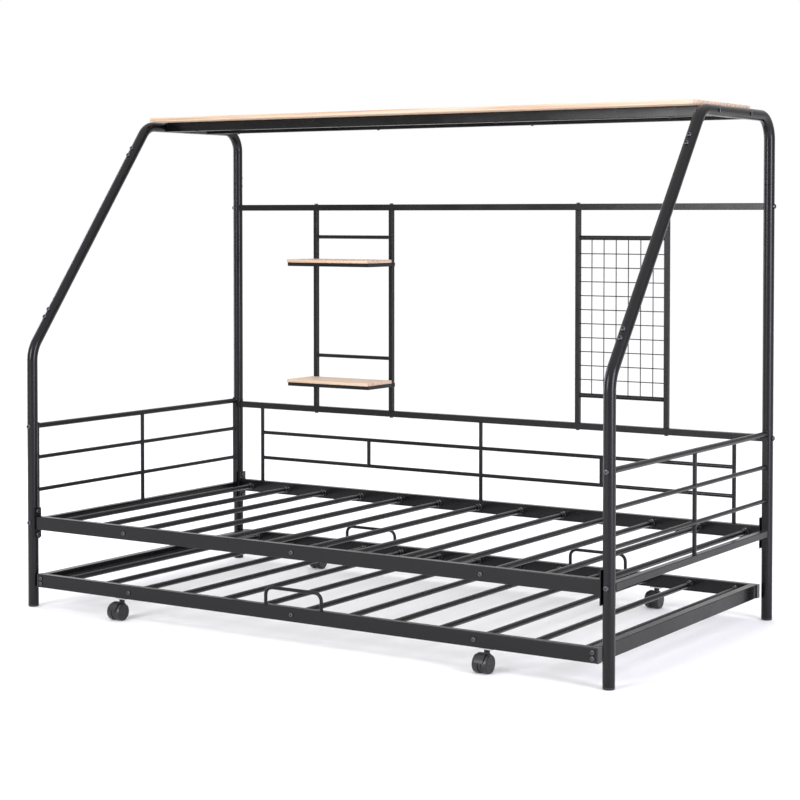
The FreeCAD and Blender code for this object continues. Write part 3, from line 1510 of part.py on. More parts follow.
# ---------------------------------------------------------------- build, check and write
def check_and_export():
    doc.recompute()
    faults = [f"{item.Name}: {item.State}" for item in doc.Objects if {"Invalid", "Error"} & set(item.State)]
    for item in nodes:
        if item.Shape.isNull() or not item.Shape.isValid() or not item.Shape.Solids:
            faults.append(f"{item.Label}: its shape is not a valid solid")
    if faults:
        sys.exit("\n".join(faults))
    os.makedirs("parts", exist_ok=True)
    for item in nodes:
        item.Shape.exportStep(f"parts/{item.Label}.step")
        box = item.Shape.BoundBox
        print(
            f"{item.Label}: {len(item.Shape.Solids)} solids, {item.Shape.Volume / 1000:.1f} cm3, "
            f"{box.XLength:.1f} x {box.YLength:.1f} x {box.ZLength:.1f} mm"
        )
    print(len(nodes), "nodes")


fill_sheets()
end_frames()
end_panels()
bed_base()
back_rails()
shelf_ladder()
wire_grid()
roof()
trundle()
casters()
fasteners()
check_and_export()
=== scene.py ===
import logging
import math
from collections.abc import Iterable
from dataclasses import dataclass
from enum import Enum

import bmesh
import bpy
from mathutils import Matrix, Vector


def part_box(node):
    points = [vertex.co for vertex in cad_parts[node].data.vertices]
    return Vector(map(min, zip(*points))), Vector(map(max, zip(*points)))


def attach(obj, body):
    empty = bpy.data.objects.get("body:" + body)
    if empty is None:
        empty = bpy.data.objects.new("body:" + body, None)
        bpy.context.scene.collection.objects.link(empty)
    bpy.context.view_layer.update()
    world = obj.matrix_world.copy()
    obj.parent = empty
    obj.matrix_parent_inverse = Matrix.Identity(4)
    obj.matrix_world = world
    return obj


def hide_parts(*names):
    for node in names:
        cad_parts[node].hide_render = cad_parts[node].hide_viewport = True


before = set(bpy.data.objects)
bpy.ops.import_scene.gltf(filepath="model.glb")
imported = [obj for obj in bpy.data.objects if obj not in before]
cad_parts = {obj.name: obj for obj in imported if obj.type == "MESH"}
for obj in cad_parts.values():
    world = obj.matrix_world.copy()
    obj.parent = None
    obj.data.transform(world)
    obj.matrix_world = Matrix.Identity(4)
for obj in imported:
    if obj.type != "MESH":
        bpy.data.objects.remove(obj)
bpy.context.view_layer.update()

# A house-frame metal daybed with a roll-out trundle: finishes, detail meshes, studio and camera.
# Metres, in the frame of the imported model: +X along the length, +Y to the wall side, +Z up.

MM = 0.001
MERGE_DISTANCE = 0.001 * MM  # points closer than this are one
SHARP_RING = 0.6  # radians: a turned part's rings that turn more than this are rounded

log = logging.getLogger("trundle_bed")


class Place(Enum):
    """Where a repeated part stands."""

    @property
    def label(self) -> str:
        """The place's name inside a node's name."""
        return self.name.lower()


class Side(Place):
    """Which end of the bed, seen from the front."""

    LEFT = -1
    RIGHT = 1


class Row(Place):
    """Front or wall side of the bed."""

    FRONT = -1
    REAR = 1


# ---------------------------------------------------------------- materials
def linear(colour: str) -> tuple[float, float, float, float]:
    """Turns an sRGB hex colour to linear.

    Args:
        colour: "#rrggbb".

    Returns:
        Linear red, green, blue and an alpha of 1.
    """
    shares = [int(colour[i : i + 2], 16) / 255 for i in (1, 3, 5)]
    return (*[c / 12.92 if c <= 0.04045 else ((c + 0.055) / 1.055) ** 2.4 for c in shares], 1.0)


def add_node(tree: bpy.types.NodeTree, kind: str, inputs: dict | None = None, **settings) -> bpy.types.Node:
    """Adds a shader node.

    Args:
        tree: The material's node tree.
        kind: The node's type name.
        inputs: Socket name or index to a constant, or to the output socket to link.
        settings: Properties of the node itself.

    Returns:
        The new node.
    """
    node = tree.nodes.new(kind)
    for key, value in settings.items():
        setattr(node, key, value)
    for key, value in (inputs or {}).items():
        if isinstance(value, bpy.types.NodeSocket):
            tree.links.new(value, node.inputs[key])
        else:
            node.inputs[key].default_value = value
    return node


def remap(
    tree: bpy.types.NodeTree,
    value: bpy.types.NodeSocket,
    source: tuple[float, float] = (0.0, 1.0),
    target: tuple[float, float] = (0.0, 1.0),
    **settings,
) -> bpy.types.NodeSocket:
    """Maps a value from one range to another, and holds it at the range's ends.

    Args:
        tree: The node tree.
        value: The socket to map.
        source: The range that it comes in.
        target: The range that it leaves in.
        settings: Properties of the node itself.

    Returns:
        The mapped socket.
    """
    ranges = {"From Min": source[0], "From Max": source[1], "To Min": target[0], "To Max": target[1]}
    return add_node(tree, "ShaderNodeMapRange", {"Value": value, **ranges}, **settings).outputs["Result"]


def blend(
    tree: bpy.types.NodeTree, share: bpy.types.NodeSocket, low: object, high: object, data_type: str = "RGBA"
) -> bpy.types.NodeSocket:
    """Mixes two colours or two numbers.

    Args:
        tree: The node tree.
        share: The socket that says how much of the second there is.
        low: The first colour or number, or its socket.
        high: The second one.
        data_type: "RGBA" for colours, "FLOAT" for numbers.

    Returns:
        The mixed socket.
    """
    mix = add_node(tree, "ShaderNodeMix", {"Factor": share, "A": low, "B": high}, data_type=data_type)
    return mix.outputs["Result"]


def emboss(
    tree: bpy.types.NodeTree,
    shader: bpy.types.Node,
    height: bpy.types.NodeSocket,
    relief: float,
    strength: float = 1.0,
    invert: bool = False,
) -> None:
    """Gives a shader fine relief.

    Args:
        tree: The material's node tree.
        shader: The surface shader.
        height: The relief's height, from 0 to 1.
        relief: The relief's depth in metres.
        strength: How much of it shows.
        invert: Whether the height goes inward.
    """
    bump = add_node(
        tree, "ShaderNodeBump", {"Height": height, "Distance": relief, "Strength": strength}, invert=invert
    )
    tree.links.new(bump.outputs["Normal"], shader.inputs["Normal"])


@dataclass(frozen=True)
class Finish:
    """A finish of one material slot: its name, its colour and how its surface was made."""

    name: str
    slot: str
    colour: str
    roughness: float
    ior: float = 1.5

    def build(self) -> bpy.types.Material:
        """Makes the material.

        Returns:
            The material, with this finish's pattern in it.
        """
        material = bpy.data.materials.new(self.name)
        material.use_nodes = True
        tree = material.node_tree
        tree.nodes.clear()
        shader = add_node(tree, "ShaderNodeBsdfPrincipled")
        shader.inputs["Base Color"].default_value = linear(self.colour)
        shader.inputs["Roughness"].default_value = self.roughness
        shader.inputs["IOR"].default_value = self.ior
        output = add_node(tree, "ShaderNodeOutputMaterial")
        tree.links.new(shader.outputs["BSDF"], output.inputs["Surface"])
        self.pattern(tree, shader)
        return material

    def pattern(self, tree: bpy.types.NodeTree, shader: bpy.types.Node) -> None:
        """Adds this finish's pattern. A plain finish has none.

        Args:
            tree: The material's node tree.
            shader: The surface shader.
        """

    def noise(
        self,
        tree: bpy.types.NodeTree,
        cell: float,
        stretch: tuple[float, float, float] = (1, 1, 1),
        detail: float = 2,
    ) -> bpy.types.NodeSocket:
        """Adds noise on object coordinates.

        Args:
            tree: The material's node tree.
            cell: Size of one grain of the noise, in metres.
            stretch: How much longer the grain is along each axis.
            detail: Octaves of finer noise.

        Returns:
            The noise's socket, from 0 to 1.
        """
        place = add_node(tree, "ShaderNodeTexCoord")
        mapping = add_node(
            tree,
            "ShaderNodeMapping",
            {"Vector": place.outputs["Object"], "Scale": tuple(1 / (cell * s) for s in stretch)},
        )
        grains = {"Vector": mapping.outputs["Vector"], "Scale": 1.0, "Detail": detail}
        return add_node(tree, "ShaderNodeTexNoise", grains).outputs["Fac"]


@dataclass(frozen=True)
class PowderCoat(Finish):
    """Polyester powder coat baked on steel tube: a satin, slightly pebbled skin that wraps every edge."""

    pebble: float = 3.2 * MM  # true cells are near 1 mm: drawn coarser, so that they show
    relief: float = 0.035 * MM
    cloud: float = 140 * MM
    cloud_spread: float = 0.07
    cloud_range: tuple[float, float] = (0.3, 0.7)

    def pattern(self, tree: bpy.types.NodeTree, shader: bpy.types.Node) -> None:
        """Adds the pebbled relief and slow changes of gloss.

        Args:
            tree: The material's node tree.
            shader: The surface shader.
        """
        emboss(tree, shader, self.noise(tree, self.pebble), self.relief)
        spread = (self.roughness - self.cloud_spread, self.roughness + self.cloud_spread)
        gloss = remap(tree, self.noise(tree, self.cloud), self.cloud_range, spread)
        tree.links.new(gloss, shader.inputs["Roughness"])


@dataclass(frozen=True)
class OakFoil(Finish):
    """Oak-effect melamine foil on particle board: straight pale grain with darker pores, matt."""

    pale: str = "#cdb69f"
    dark: str = "#b18f73"
    pore: str = "#967459"
    grain_width: float = 7 * MM
    grain_run: float = 60
    pore_width: float = 2.2 * MM  # true pores are near 0.3 mm: drawn wider, so that they show
    dark_until: float = 0.32  # levels of the grain's noise where each tone stands
    even_at: float = 0.46
    pale_from: float = 0.62
    pore_range: tuple[float, float] = (0.6, 0.75)
    pore_depth: float = 0.5
    relief: float = 0.05 * MM
    relief_share: float = 0.6

    def pattern(self, tree: bpy.types.NodeTree, shader: bpy.types.Node) -> None:
        """Adds the grain's bands and pores, which run along the board.

        Args:
            tree: The material's node tree.
            shader: The surface shader.
        """
        run = (self.grain_run, 1, 1)
        bands = self.noise(tree, self.grain_width, run, detail=3)
        band_tone = add_node(tree, "ShaderNodeValToRGB", {"Fac": bands})
        ramp = band_tone.color_ramp
        ramp.elements[0].position, ramp.elements[0].color = self.dark_until, linear(self.dark)
        ramp.elements[1].position, ramp.elements[1].color = self.pale_from, linear(self.pale)
        ramp.elements.new(self.even_at).color = linear(self.colour)
        pores = self.noise(tree, self.pore_width, run)
        pore_share = remap(tree, pores, self.pore_range, (0.0, self.pore_depth))
        tone = blend(tree, pore_share, band_tone.outputs["Color"], linear(self.pore))
        tree.links.new(tone, shader.inputs["Base Color"])
        emboss(tree, shader, pores, self.relief, self.relief_share, invert=True)


@dataclass(frozen=True)
class MouldedPlastic(Finish):
    """Injection-moulded plastic with the fine spark texture of its mould."""

    grit: float = 1.4 * MM
    relief: float = 0.02 * MM

    def pattern(self, tree: bpy.types.NodeTree, shader: bpy.types.Node) -> None:
        """Adds the mould's fine texture.

        Args:
            tree: The material's node tree.
            shader: The surface shader.
        """
        emboss(tree, shader, self.noise(tree, self.grit, detail=3), self.relief)


@dataclass(frozen=True)
class PlatedSteel(Finish):
    """Zinc-plated steel, whose gloss changes a little over the surface, with painted shade darkening its
    colour in recesses.
    """

    spangle: float = 5 * MM
    spangle_spread: float = 0.06
    # painted shade: the near-black colour painted into recesses such as bolt sockets, with the reach, range
    # and samples of the ambient occlusion that finds them
    shade: str = "#0c0c0d"
    shade_reach: float = 4 * MM
    shade_range: tuple[float, float] = (0.45, 0.8)
    shade_samples: int = 8

    def pattern(self, tree: bpy.types.NodeTree, shader: bpy.types.Node) -> None:
        """Adds metal, the uneven gloss of plating and painted shade: the colour darkens where ambient
        occlusion finds sockets and other recesses.

        Args:
            tree: The material's node tree.
            shader: The surface shader.
        """
        shader.inputs["Metallic"].default_value = 1.0
        spread = (self.roughness - self.spangle_spread, self.roughness + self.spangle_spread)
        gloss = remap(tree, self.noise(tree, self.spangle), target=spread)
        tree.links.new(gloss, shader.inputs["Roughness"])
        # painted shade: ambient occlusion darkens the base colour in sockets and recesses
        reach = {"Distance": self.shade_reach}
        hollows = add_node(tree, "ShaderNodeAmbientOcclusion", reach, samples=self.shade_samples)
        lit_share = remap(tree, hollows.outputs["AO"], self.shade_range)
        tone = blend(tree, lit_share, linear(self.shade), linear(self.colour))
        tree.links.new(tone, shader.inputs["Base Color"])


FINISHES = (
    # satin charcoal black, with soft highlights along every tube
    PowderCoat("satin_black_powder_coat", "frame_steel", "#0b0b0d", 0.26, ior=1.35),
    # pale matt oak effect
    OakFoil("oak_effect_melamine", "board_wood", "#c0a58b", 0.52),
    # soft polyethylene, with a small sharp highlight on each rounded edge
    MouldedPlastic("moulded_black_polyethylene", "cap_plastic", "#161617", 0.24),
    # dark zinc plate, lighter than the powder coat round it
    PlatedSteel("black_zinc_plated_steel", "bolt_steel", "#55565b", 0.34),
    # nylon hood, satin
    MouldedPlastic("moulded_black_nylon", "caster_plastic", "#111113", 0.38),
    # bright zinc plate
    PlatedSteel("bright_zinc_plated_steel", "caster_steel", "#b4b6b8", 0.30),
    # nylon wheel, a little glossier than its hood
    MouldedPlastic("polished_black_nylon", "wheel_plastic", "#131315", 0.32),
)


class Workshop:
    """Holds the finishes, and gives each piece and each CAD node its own."""

    def __init__(self) -> None:
        """Makes every finish's material once."""
        self.materials = {finish.slot: finish.build() for finish in FINISHES}

    def dress_nodes(self) -> None:
        """Gives every CAD node the finish of its slot."""
        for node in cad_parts.values():
            for slot in node.material_slots:
                slot.material = self.materials[slot.material.name.split(".")[0]]
        log.info("dressed %d packed nodes", len(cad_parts))


# ---------------------------------------------------------------- modelling
@dataclass
class Route:
    """The centreline of a bent tube: its corner points and the radius of the bend at each inner one."""

    points: list[Vector]
    bends: tuple[float, ...] = ()


Loop = tuple[list[bmesh.types.BMVert], list[bmesh.types.BMEdge]]


def unique(items: Iterable) -> list:
    """Drops repeats and keeps the order.

    Args:
        items: What to go through.

    Returns:
        Each item once, where it first came.
    """
    return list(dict.fromkeys(items))


def solids_of(node: str) -> list[tuple[Vector, Vector]]:
    """Finds the separate solids of a CAD node.

    Args:
        node: The node's name.

    Returns:
        The lowest and highest corner of each solid.
    """
    bm = bmesh.new()
    bm.from_mesh(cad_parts[node].data)
    bmesh.ops.remove_doubles(bm, verts=bm.verts, dist=MERGE_DISTANCE)
    waiting = dict.fromkeys(bm.verts)
    boxes = []
    while waiting:
        reached = [waiting.popitem()[0]]
        for vert in reached:
            for edge in vert.link_edges:
                other = edge.other_vert(vert)
                if other in waiting:
                    del waiting[other]
                    reached.append(other)
        places = [v.co for v in reached]
        low = Vector([min(p[i] for p in places) for i in range(3)])
        high = Vector([max(p[i] for p in places) for i in range(3)])
        boxes.append((low, high))
    bm.free()
    return sorted(boxes, key=lambda box: tuple(round(c, 4) for c in (box[0] + box[1]) / 2))


def middle_of(node: str, along: int) -> float:
    """Finds the middle of a CAD node.

    Args:
        node: The node's name.
        along: The axis to measure along: 0, 1 or 2.

    Returns:
        The middle of its box on that axis.
    """
    low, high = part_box(node)
    return (low[along] + high[along]) / 2


class Shape:
    """A piece while it is modelled."""

    def __init__(self) -> None:
        """Starts with nothing."""
        self.bm = bmesh.new()

    def ring(self, centre: Vector, heading: Vector, radius: float, segments: int) -> Loop:
        """Adds a circle of edges.

        Args:
            centre: Its centre.
            heading: The direction that it faces.
            radius: Its radius.
            segments: Its number of edges.

        Returns:
            Its vertices and edges.
        """
        stand = Matrix.Translation(centre) @ heading.to_track_quat("Z", "Y").to_matrix().to_4x4()
        made = bmesh.ops.create_circle(
            self.bm, cap_ends=False, radius=radius, segments=segments, matrix=stand
        )
        verts = made["verts"]
        return verts, unique(edge for vert in verts for edge in vert.link_edges)

    def extend(self, loop: Loop, step: Vector) -> Loop:
        """Extrudes a loop straight.

        Args:
            loop: The loop to extrude.
            step: How far, and which way.

        Returns:
            The new end loop.
        """
        made = bmesh.ops.extrude_edge_only(self.bm, edges=loop[1])["geom"]
        verts = [item for item in made if isinstance(item, bmesh.types.BMVert)]
        bmesh.ops.translate(self.bm, vec=step, verts=verts)
        ends = set(verts)
        edges = [item for item in made if isinstance(item, bmesh.types.BMEdge)]
        return verts, [edge for edge in edges if ends.issuperset(edge.verts)]

    def bend(self, loop: Loop, centre: Vector, axis: Vector, angle: float, steps: int) -> Loop:
        """Spins a loop round a bend.

        Args:
            loop: The loop to spin.
            centre: The bend's centre.
            axis: The bend's axis.
            angle: How far it turns, in radians.
            steps: Rings along the bend.

        Returns:
            The new end loop.
        """
        last = bmesh.ops.spin(
            self.bm,
            geom=loop[0] + loop[1],
            cent=centre,
            axis=axis,
            dvec=(0, 0, 0),
            angle=angle,
            steps=steps,
            use_merge=False,
        )["geom_last"]
        verts = [item for item in last if isinstance(item, bmesh.types.BMVert)]
        return verts, [item for item in last if isinstance(item, bmesh.types.BMEdge)]

    def sweep(self, route: Route, radius: float, segments: int, steps: int) -> tuple[list, list]:
        """Draws an open skin along a route.

        Args:
            route: The centreline.
            radius: The skin's radius.
            segments: Edges round it.
            steps: Rings along each bend.

        Returns:
            The edges of its first and of its last loop.
        """
        points = route.points
        here = points[0]
        heading = (points[1] - here).normalized()
        loop = self.ring(here, heading, radius, segments)
        first = loop[1]
        for corner, following, bend in zip(points[1:-1], points[2:], route.bends):
            after = (following - corner).normalized()
            turn = heading.angle(after)
            reach = bend * math.tan(turn / 2)
            start = corner - heading * reach
            loop = self.extend(loop, start - here)
            axis = heading.cross(after).normalized()
            loop = self.bend(loop, start + axis.cross(heading) * bend, axis, turn, steps)
            here = corner + after * reach
            heading = after
        return first, self.extend(loop, points[-1] - here)[1]

    def tube(
        self,
        route: Route,
        radius: float,
        wall: float,
        segments: int = 48,
        steps: int = 20,
        chamfer: float = 0.5 * MM,
    ) -> None:
        """Models a round tube with a wall, its outer ends broken by a small chamfer.

        Args:
            route: The centreline.
            radius: Outside radius.
            wall: Wall thickness.
            segments: Edges round the tube.
            steps: Rings along each bend.
            chamfer: The chamfer's width.
        """
        outer = self.sweep(route, radius, segments, steps)
        inner = self.sweep(route, radius - wall, segments, steps)
        for outside, inside in zip(outer, inner):
            bmesh.ops.bridge_loops(self.bm, edges=outside + inside)
        self.soften([*outer[0], *outer[1]], chamfer, segments=1)

    def soften(self, edges: list, width: float, segments: int) -> None:
        """Bevels edges.

        Args:
            edges: The edges to bevel.
            width: Width of the bevel.
            segments: Faces across it.
        """
        bmesh.ops.bevel(
            self.bm,
            geom=edges,
            offset=width,
            offset_type="OFFSET",
            affect="EDGES",
            segments=segments,
            profile=0.5,
            material=-1,
            clamp_overlap=True,
        )

    def revolve(self, outline: list, centre: Vector, axis: Vector, steps: int) -> None:
        """Spins an outline one full turn.

        Args:
            outline: Its vertices and edges.
            centre: A point of the axis.
            axis: The axis.
            steps: Faces round it.
        """
        bmesh.ops.spin(
            self.bm,
            geom=outline,
            cent=centre,
            axis=axis,
            dvec=(0, 0, 0),
            angle=math.tau,
            steps=steps,
            use_merge=True,
        )

    def turned(
        self, profile: list[tuple[float, float]], centre: Vector, axis: Vector, steps: int, edge: float = 0.0
    ) -> None:
        """Models a turned part.

        Args:
            profile: Radius and distance along the axis of each point, from axis to axis or closed.
            centre: Where the distances start.
            axis: The axis, which the distances follow.
            steps: Faces round it.
            edge: Radius of its sharp rings, or 0.
        """
        side = axis.orthogonal().normalized()
        verts = [self.bm.verts.new(centre + side * radius + axis * along) for radius, along in profile]
        edges = [self.bm.edges.new(pair) for pair in zip(verts, verts[1:])]
        if profile[0][0] > 0:
            edges.append(self.bm.edges.new((verts[-1], verts[0])))
        before = set(self.bm.faces)
        self.revolve(verts + edges, centre, axis, steps)
        faces = [face for face in self.bm.faces if face not in before]
        near = unique(vert for face in faces for vert in face.verts)
        bmesh.ops.remove_doubles(self.bm, verts=near, dist=MERGE_DISTANCE)
        faces = [face for face in self.bm.faces if face not in before]
        bmesh.ops.recalc_face_normals(self.bm, faces=faces)
        if edge:
            rings = unique(e for face in faces for e in face.edges if e.is_manifold)
            self.soften([e for e in rings if e.calc_face_angle(0) > SHARP_RING], edge, segments=2)

    def board(self, low: Vector, high: Vector, edge: float) -> None:
        """Models a flat panel with softened edges.

        Args:
            low: Lowest corner.
            high: Highest corner.
            edge: Radius of its edges.
        """
        centre, size = (low + high) / 2, high - low
        made = bmesh.ops.create_cube(
            self.bm, size=1.0, matrix=Matrix.Translation(centre) @ Matrix.Diagonal((*size, 1.0))
        )
        edges = unique(e for vert in made["verts"] for e in vert.link_edges)
        self.soften(edges, edge, segments=3)

    def bead(
        self, centre: Vector, axis: Vector, radius: float, size: float, segments: int = 8, steps: int = 20
    ) -> None:
        """Models a weld bead round a bar.

        Args:
            centre: Where the bar's axis meets the other part's face.
            axis: The bar's axis.
            radius: The bar's radius.
            size: Radius of the bead itself.
            segments: Faces round the bead itself.
            steps: Faces round the bar.
        """
        side = axis.orthogonal().normalized()
        loop = self.ring(centre + side * radius, axis.cross(side), size, segments)
        self.revolve(loop[0] + loop[1], centre, axis, steps)

    def place(
        self,
        name: str,
        body: str,
        slot: str,
        shop: Workshop,
        replaced: tuple[str, ...] = (),
        crease: float = 35.0,
    ) -> None:
        """Turns the shape into a finished piece of the object.

        Args:
            name: The piece's name.
            body: The body that it rides on.
            slot: The slot that its finish comes from.
            shop: Where the finishes are.
            replaced: The nodes that it stands for.
            crease: Edges sharper than this stay sharp, in degrees.
        """
        bmesh.ops.recalc_face_normals(self.bm, faces=self.bm.faces)
        mesh = bpy.data.meshes.new(name)
        self.bm.to_mesh(mesh)
        self.bm.free()
        mesh.shade_smooth()
        mesh.set_sharp_from_angle(angle=math.radians(crease))
        mesh.materials.append(shop.materials[slot])
        piece = bpy.data.objects.new(name, mesh)
        bpy.context.scene.collection.objects.link(piece)
        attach(piece, body)
        if replaced:
            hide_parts(*replaced)
        log.info("%s: %d faces on %s", name, len(mesh.polygons), body)


# ---------------------------------------------------------------- the bed's parts
@dataclass
class EndFrame:
    """One end of the house: front leg, slanted tube, roof bow and rear post, all of one round tube."""

    side: Side
    wall: float = 1.5 * MM
    leg_bend_radius: float = 100 * MM
    leg_corner_height: float = 780 * MM
    roof_front_radius: float = 70 * MM
    roof_rear_radius: float = 68 * MM
    roof_corner_y: float = 30 * MM
    lower_joint_run: float = 160 * MM
    upper_joint_run: float = 144 * MM

    def build(self, shop: Workshop) -> None:
        """Models the four tubes.

        Args:
            shop: Where the finishes are.
        """
        label = self.side.label
        low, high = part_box(f"rear_post_{label}")
        radius = (high[0] - low[0]) / 2
        x, rear_y = (low[0] + high[0]) / 2, (low[1] + high[1]) / 2
        front_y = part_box(f"front_leg_{label}")[0][1] + radius
        roof_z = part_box(f"roof_bow_{label}")[1][2] - radius
        foot = Vector((x, front_y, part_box(f"front_leg_{label}")[0][2]))
        knee = Vector((x, front_y, self.leg_corner_height))
        eave = Vector((x, self.roof_corner_y, roof_z))
        gable = Vector((x, rear_y, roof_z))
        slope = (eave - knee).normalized()
        lower_joint = knee + slope * self.lower_joint_run
        upper_joint = eave - slope * self.upper_joint_run
        rear_joint = Vector((x, rear_y, high[2]))
        tubes = {
            "front_leg": Route([foot, knee, lower_joint], (self.leg_bend_radius,)),
            "slant_tube": Route([lower_joint, upper_joint]),
            "roof_bow": Route(
                [upper_joint, eave, gable, rear_joint], (self.roof_front_radius, self.roof_rear_radius)
            ),
            "rear_post": Route([Vector((x, rear_y, low[2])), rear_joint]),
        }
        for name, route in tubes.items():
            shape = Shape()
            shape.tube(route, radius, self.wall)
            node = f"{name}_{label}"
            shape.place(f"bent_{node}", "frame", "frame_steel", shop, (node,))


@dataclass
class SlattedBase:
    """Round slats with a moulded cap at each end."""

    slats: str
    caps: str
    body: str
    wall: float = 1.2 * MM
    cap_flange: float = 4 * MM
    cap_sleeve_radius: float = 10 * MM
    cap_slit: float = 0.1 * MM
    cap_edge: float = 1.1 * MM
    facets: int = 28

    def build(self, shop: Workshop) -> None:
        """Models the slats and their caps.

        Args:
            shop: Where the finishes are.
        """
        slats = Shape()
        radius = 0.0
        for low, high in solids_of(self.slats):
            centre = (low + high) / 2
            radius = (high.x - low.x) / 2
            ends = [Vector((centre.x, y, centre.z)) for y in (low.y, high.y)]
            slats.tube(Route(ends), radius, self.wall, self.facets)
        slats.place(f"round_{self.slats}", self.body, "frame_steel", shop, (self.slats,))
        caps = Shape()
        middle = middle_of(self.caps, 1)
        for low, high in solids_of(self.caps):
            centre = (low + high) / 2
            outward = 1 if centre.y > middle else -1
            face = Vector((centre.x, high.y if outward > 0 else low.y, centre.z))
            flange, depth = (high.x - low.x) / 2, high.y - low.y
            bore = radius + self.cap_slit
            profile = [
                (0, 0),
                (flange, 0),
                (flange, self.cap_flange),
                (self.cap_sleeve_radius, self.cap_flange),
                (self.cap_sleeve_radius, depth),
                (bore, depth),
                (bore, self.cap_flange),
                (0, self.cap_flange),
            ]
            caps.turned(profile, face, Vector((0, -outward, 0)), self.facets, self.cap_edge)
        caps.place(f"moulded_{self.caps}", self.body, "cap_plastic", shop, (self.caps,))


@dataclass
class Boards:
    """Oak-effect boards: the roof and the two shelves, each with a thin edge band."""

    edge: float = 0.8 * MM

    def build(self, shop: Workshop) -> None:
        """Models each board.

        Args:
            shop: Where the finishes are.
        """
        for node in ("roof_board", "shelf_boards"):
            shape = Shape()
            for low, high in solids_of(node):
                shape.board(low, high, self.edge)
            shape.place(f"banded_{node}", "frame", "board_wood", shop, (node,))


@dataclass
class CasterWheels:
    """The two nylon wheels of one caster, each with a dished face, a ring groove and a hub."""

    side: Side
    row: Row
    tread_round: float = 3.2 * MM
    tread_chamfer: float = 1.28 * MM
    tread_shoulder: float = 0.96 * MM
    rim: float = 2.1 * MM
    rim_slope: float = 1.05 * MM
    dish: float = 1.0 * MM
    hub: float = 6.5 * MM
    groove: float = 0.7 * MM
    groove_radius: float = 14 * MM
    axle_radius: float = 2.8 * MM
    axle_blind: float = 2.6 * MM
    facets: int = 56
    crease: float = 28

    def build(self, shop: Workshop) -> None:
        """Models both wheels.

        Args:
            shop: Where the finishes are.
        """
        label = f"{self.side.label}_{self.row.label}"
        node = f"caster_wheels_{label}"
        shape = Shape()
        middle = middle_of(node, 0)
        for low, high in solids_of(node):
            centre = (low + high) / 2
            outward = 1 if centre.x > middle else -1
            radius, width = (high.z - low.z) / 2, high.x - low.x
            inner_face = Vector((low.x if outward > 0 else high.x, centre.y, centre.z))
            dished = width - self.dish
            rim_inside = radius - self.tread_round - self.rim
            profile = [
                (self.axle_radius, 0),
                (radius - self.tread_chamfer, 0),
                (radius, self.tread_chamfer),
                (radius, width - self.tread_round),
                (radius - self.tread_shoulder, width - self.tread_shoulder),
                (radius - self.tread_round, width),
                (rim_inside, width),
                (rim_inside - self.rim_slope, dished),
                (self.groove_radius + self.groove, dished),
                (self.groove_radius + self.groove / 2, dished - self.groove),
                (self.groove_radius, dished),
                (self.hub + self.dish, dished),
                (self.hub, width),
                (0, width),
                (0, width - self.axle_blind),
                (self.axle_radius, width - self.axle_blind),
            ]
            shape.turned(profile, inner_face, Vector((outward, 0, 0)), self.facets)
        shape.place(f"turned_{node}", f"wheels_{label}", "wheel_plastic", shop, (node,), self.crease)


@dataclass
class Retainers:
    """The bent-rod hoops that keep a mattress on the trundle."""

    bend: float = 22 * MM
    bead: float = 1.4 * MM
    wall_share: float = 0.6
    chamfer: float = 0.2 * MM
    facets: int = 24
    bend_steps: int = 12

    def build(self, shop: Workshop) -> None:
        """Models the hoops and the weld bead round each foot.

        Args:
            shop: Where the finishes are.
        """
        hoops = Shape()
        beads = Shape()
        for low, high in solids_of("retainers"):
            y, radius = (low.y + high.y) / 2, (high.y - low.y) / 2
            left, right, top = low.x + radius, high.x - radius, high.z - radius
            corners = ((left, low.z), (left, top), (right, top), (right, low.z))
            route = Route([Vector((x, y, z)) for x, z in corners], (self.bend, self.bend))
            wall = radius * self.wall_share
            hoops.tube(route, radius, wall, self.facets, self.bend_steps, self.chamfer)
            for x in (left, right):
                beads.bead(Vector((x, y, low.z + self.bead / 2)), Vector((0, 0, 1)), radius, self.bead)
        hoops.place("bent_retainers", "trundle", "frame_steel", shop, ("retainers",))
        beads.place("retainer_weld_beads", "trundle", "frame_steel", shop)


class Role(Enum):
    """What is made for a node's round bars."""

    BARS_AND_WELDS = "bars and welds"
    WELDS_ONLY = "welds only"


@dataclass
class RoundBars:
    """Straight round bars of one node, each welded at both ends."""

    node: str
    role: Role = Role.BARS_AND_WELDS
    thickest: float = 16.5 * MM
    wall: float = 1.2 * MM
    wall_share: float = 0.4
    chamfer: float = 0.1 * MM
    bead: float = 1.1 * MM
    facets: int = 28

    def build(self, shop: Workshop) -> None:
        """Models the bars, where they are made anew, and their weld beads.

        Args:
            shop: Where the finishes are.
        """
        bars = Shape()
        beads = Shape()
        for low, high in solids_of(self.node):
            size, centre = high - low, (low + high) / 2
            run = max(range(3), key=lambda i: size[i])
            thickness = max(size[i] for i in range(3) if i != run)
            if thickness > self.thickest:
                continue
            axis = Vector([float(i == run) for i in range(3)])
            ends = [centre - axis * size[run] / 2, centre + axis * size[run] / 2]
            if self.role is Role.BARS_AND_WELDS:
                wall = min(self.wall, thickness * self.wall_share)
                bars.tube(Route(ends), thickness / 2, wall, self.facets, chamfer=self.chamfer)
            for end, inward in zip(ends, (1, -1)):
                beads.bead(end + axis * inward * self.bead / 2, axis, thickness / 2, self.bead)
        if self.role is Role.BARS_AND_WELDS:
            bars.place(f"round_{self.node}", "frame", "frame_steel", shop, (self.node,))
        beads.place(f"{self.node}_weld_beads", "frame", "frame_steel", shop)


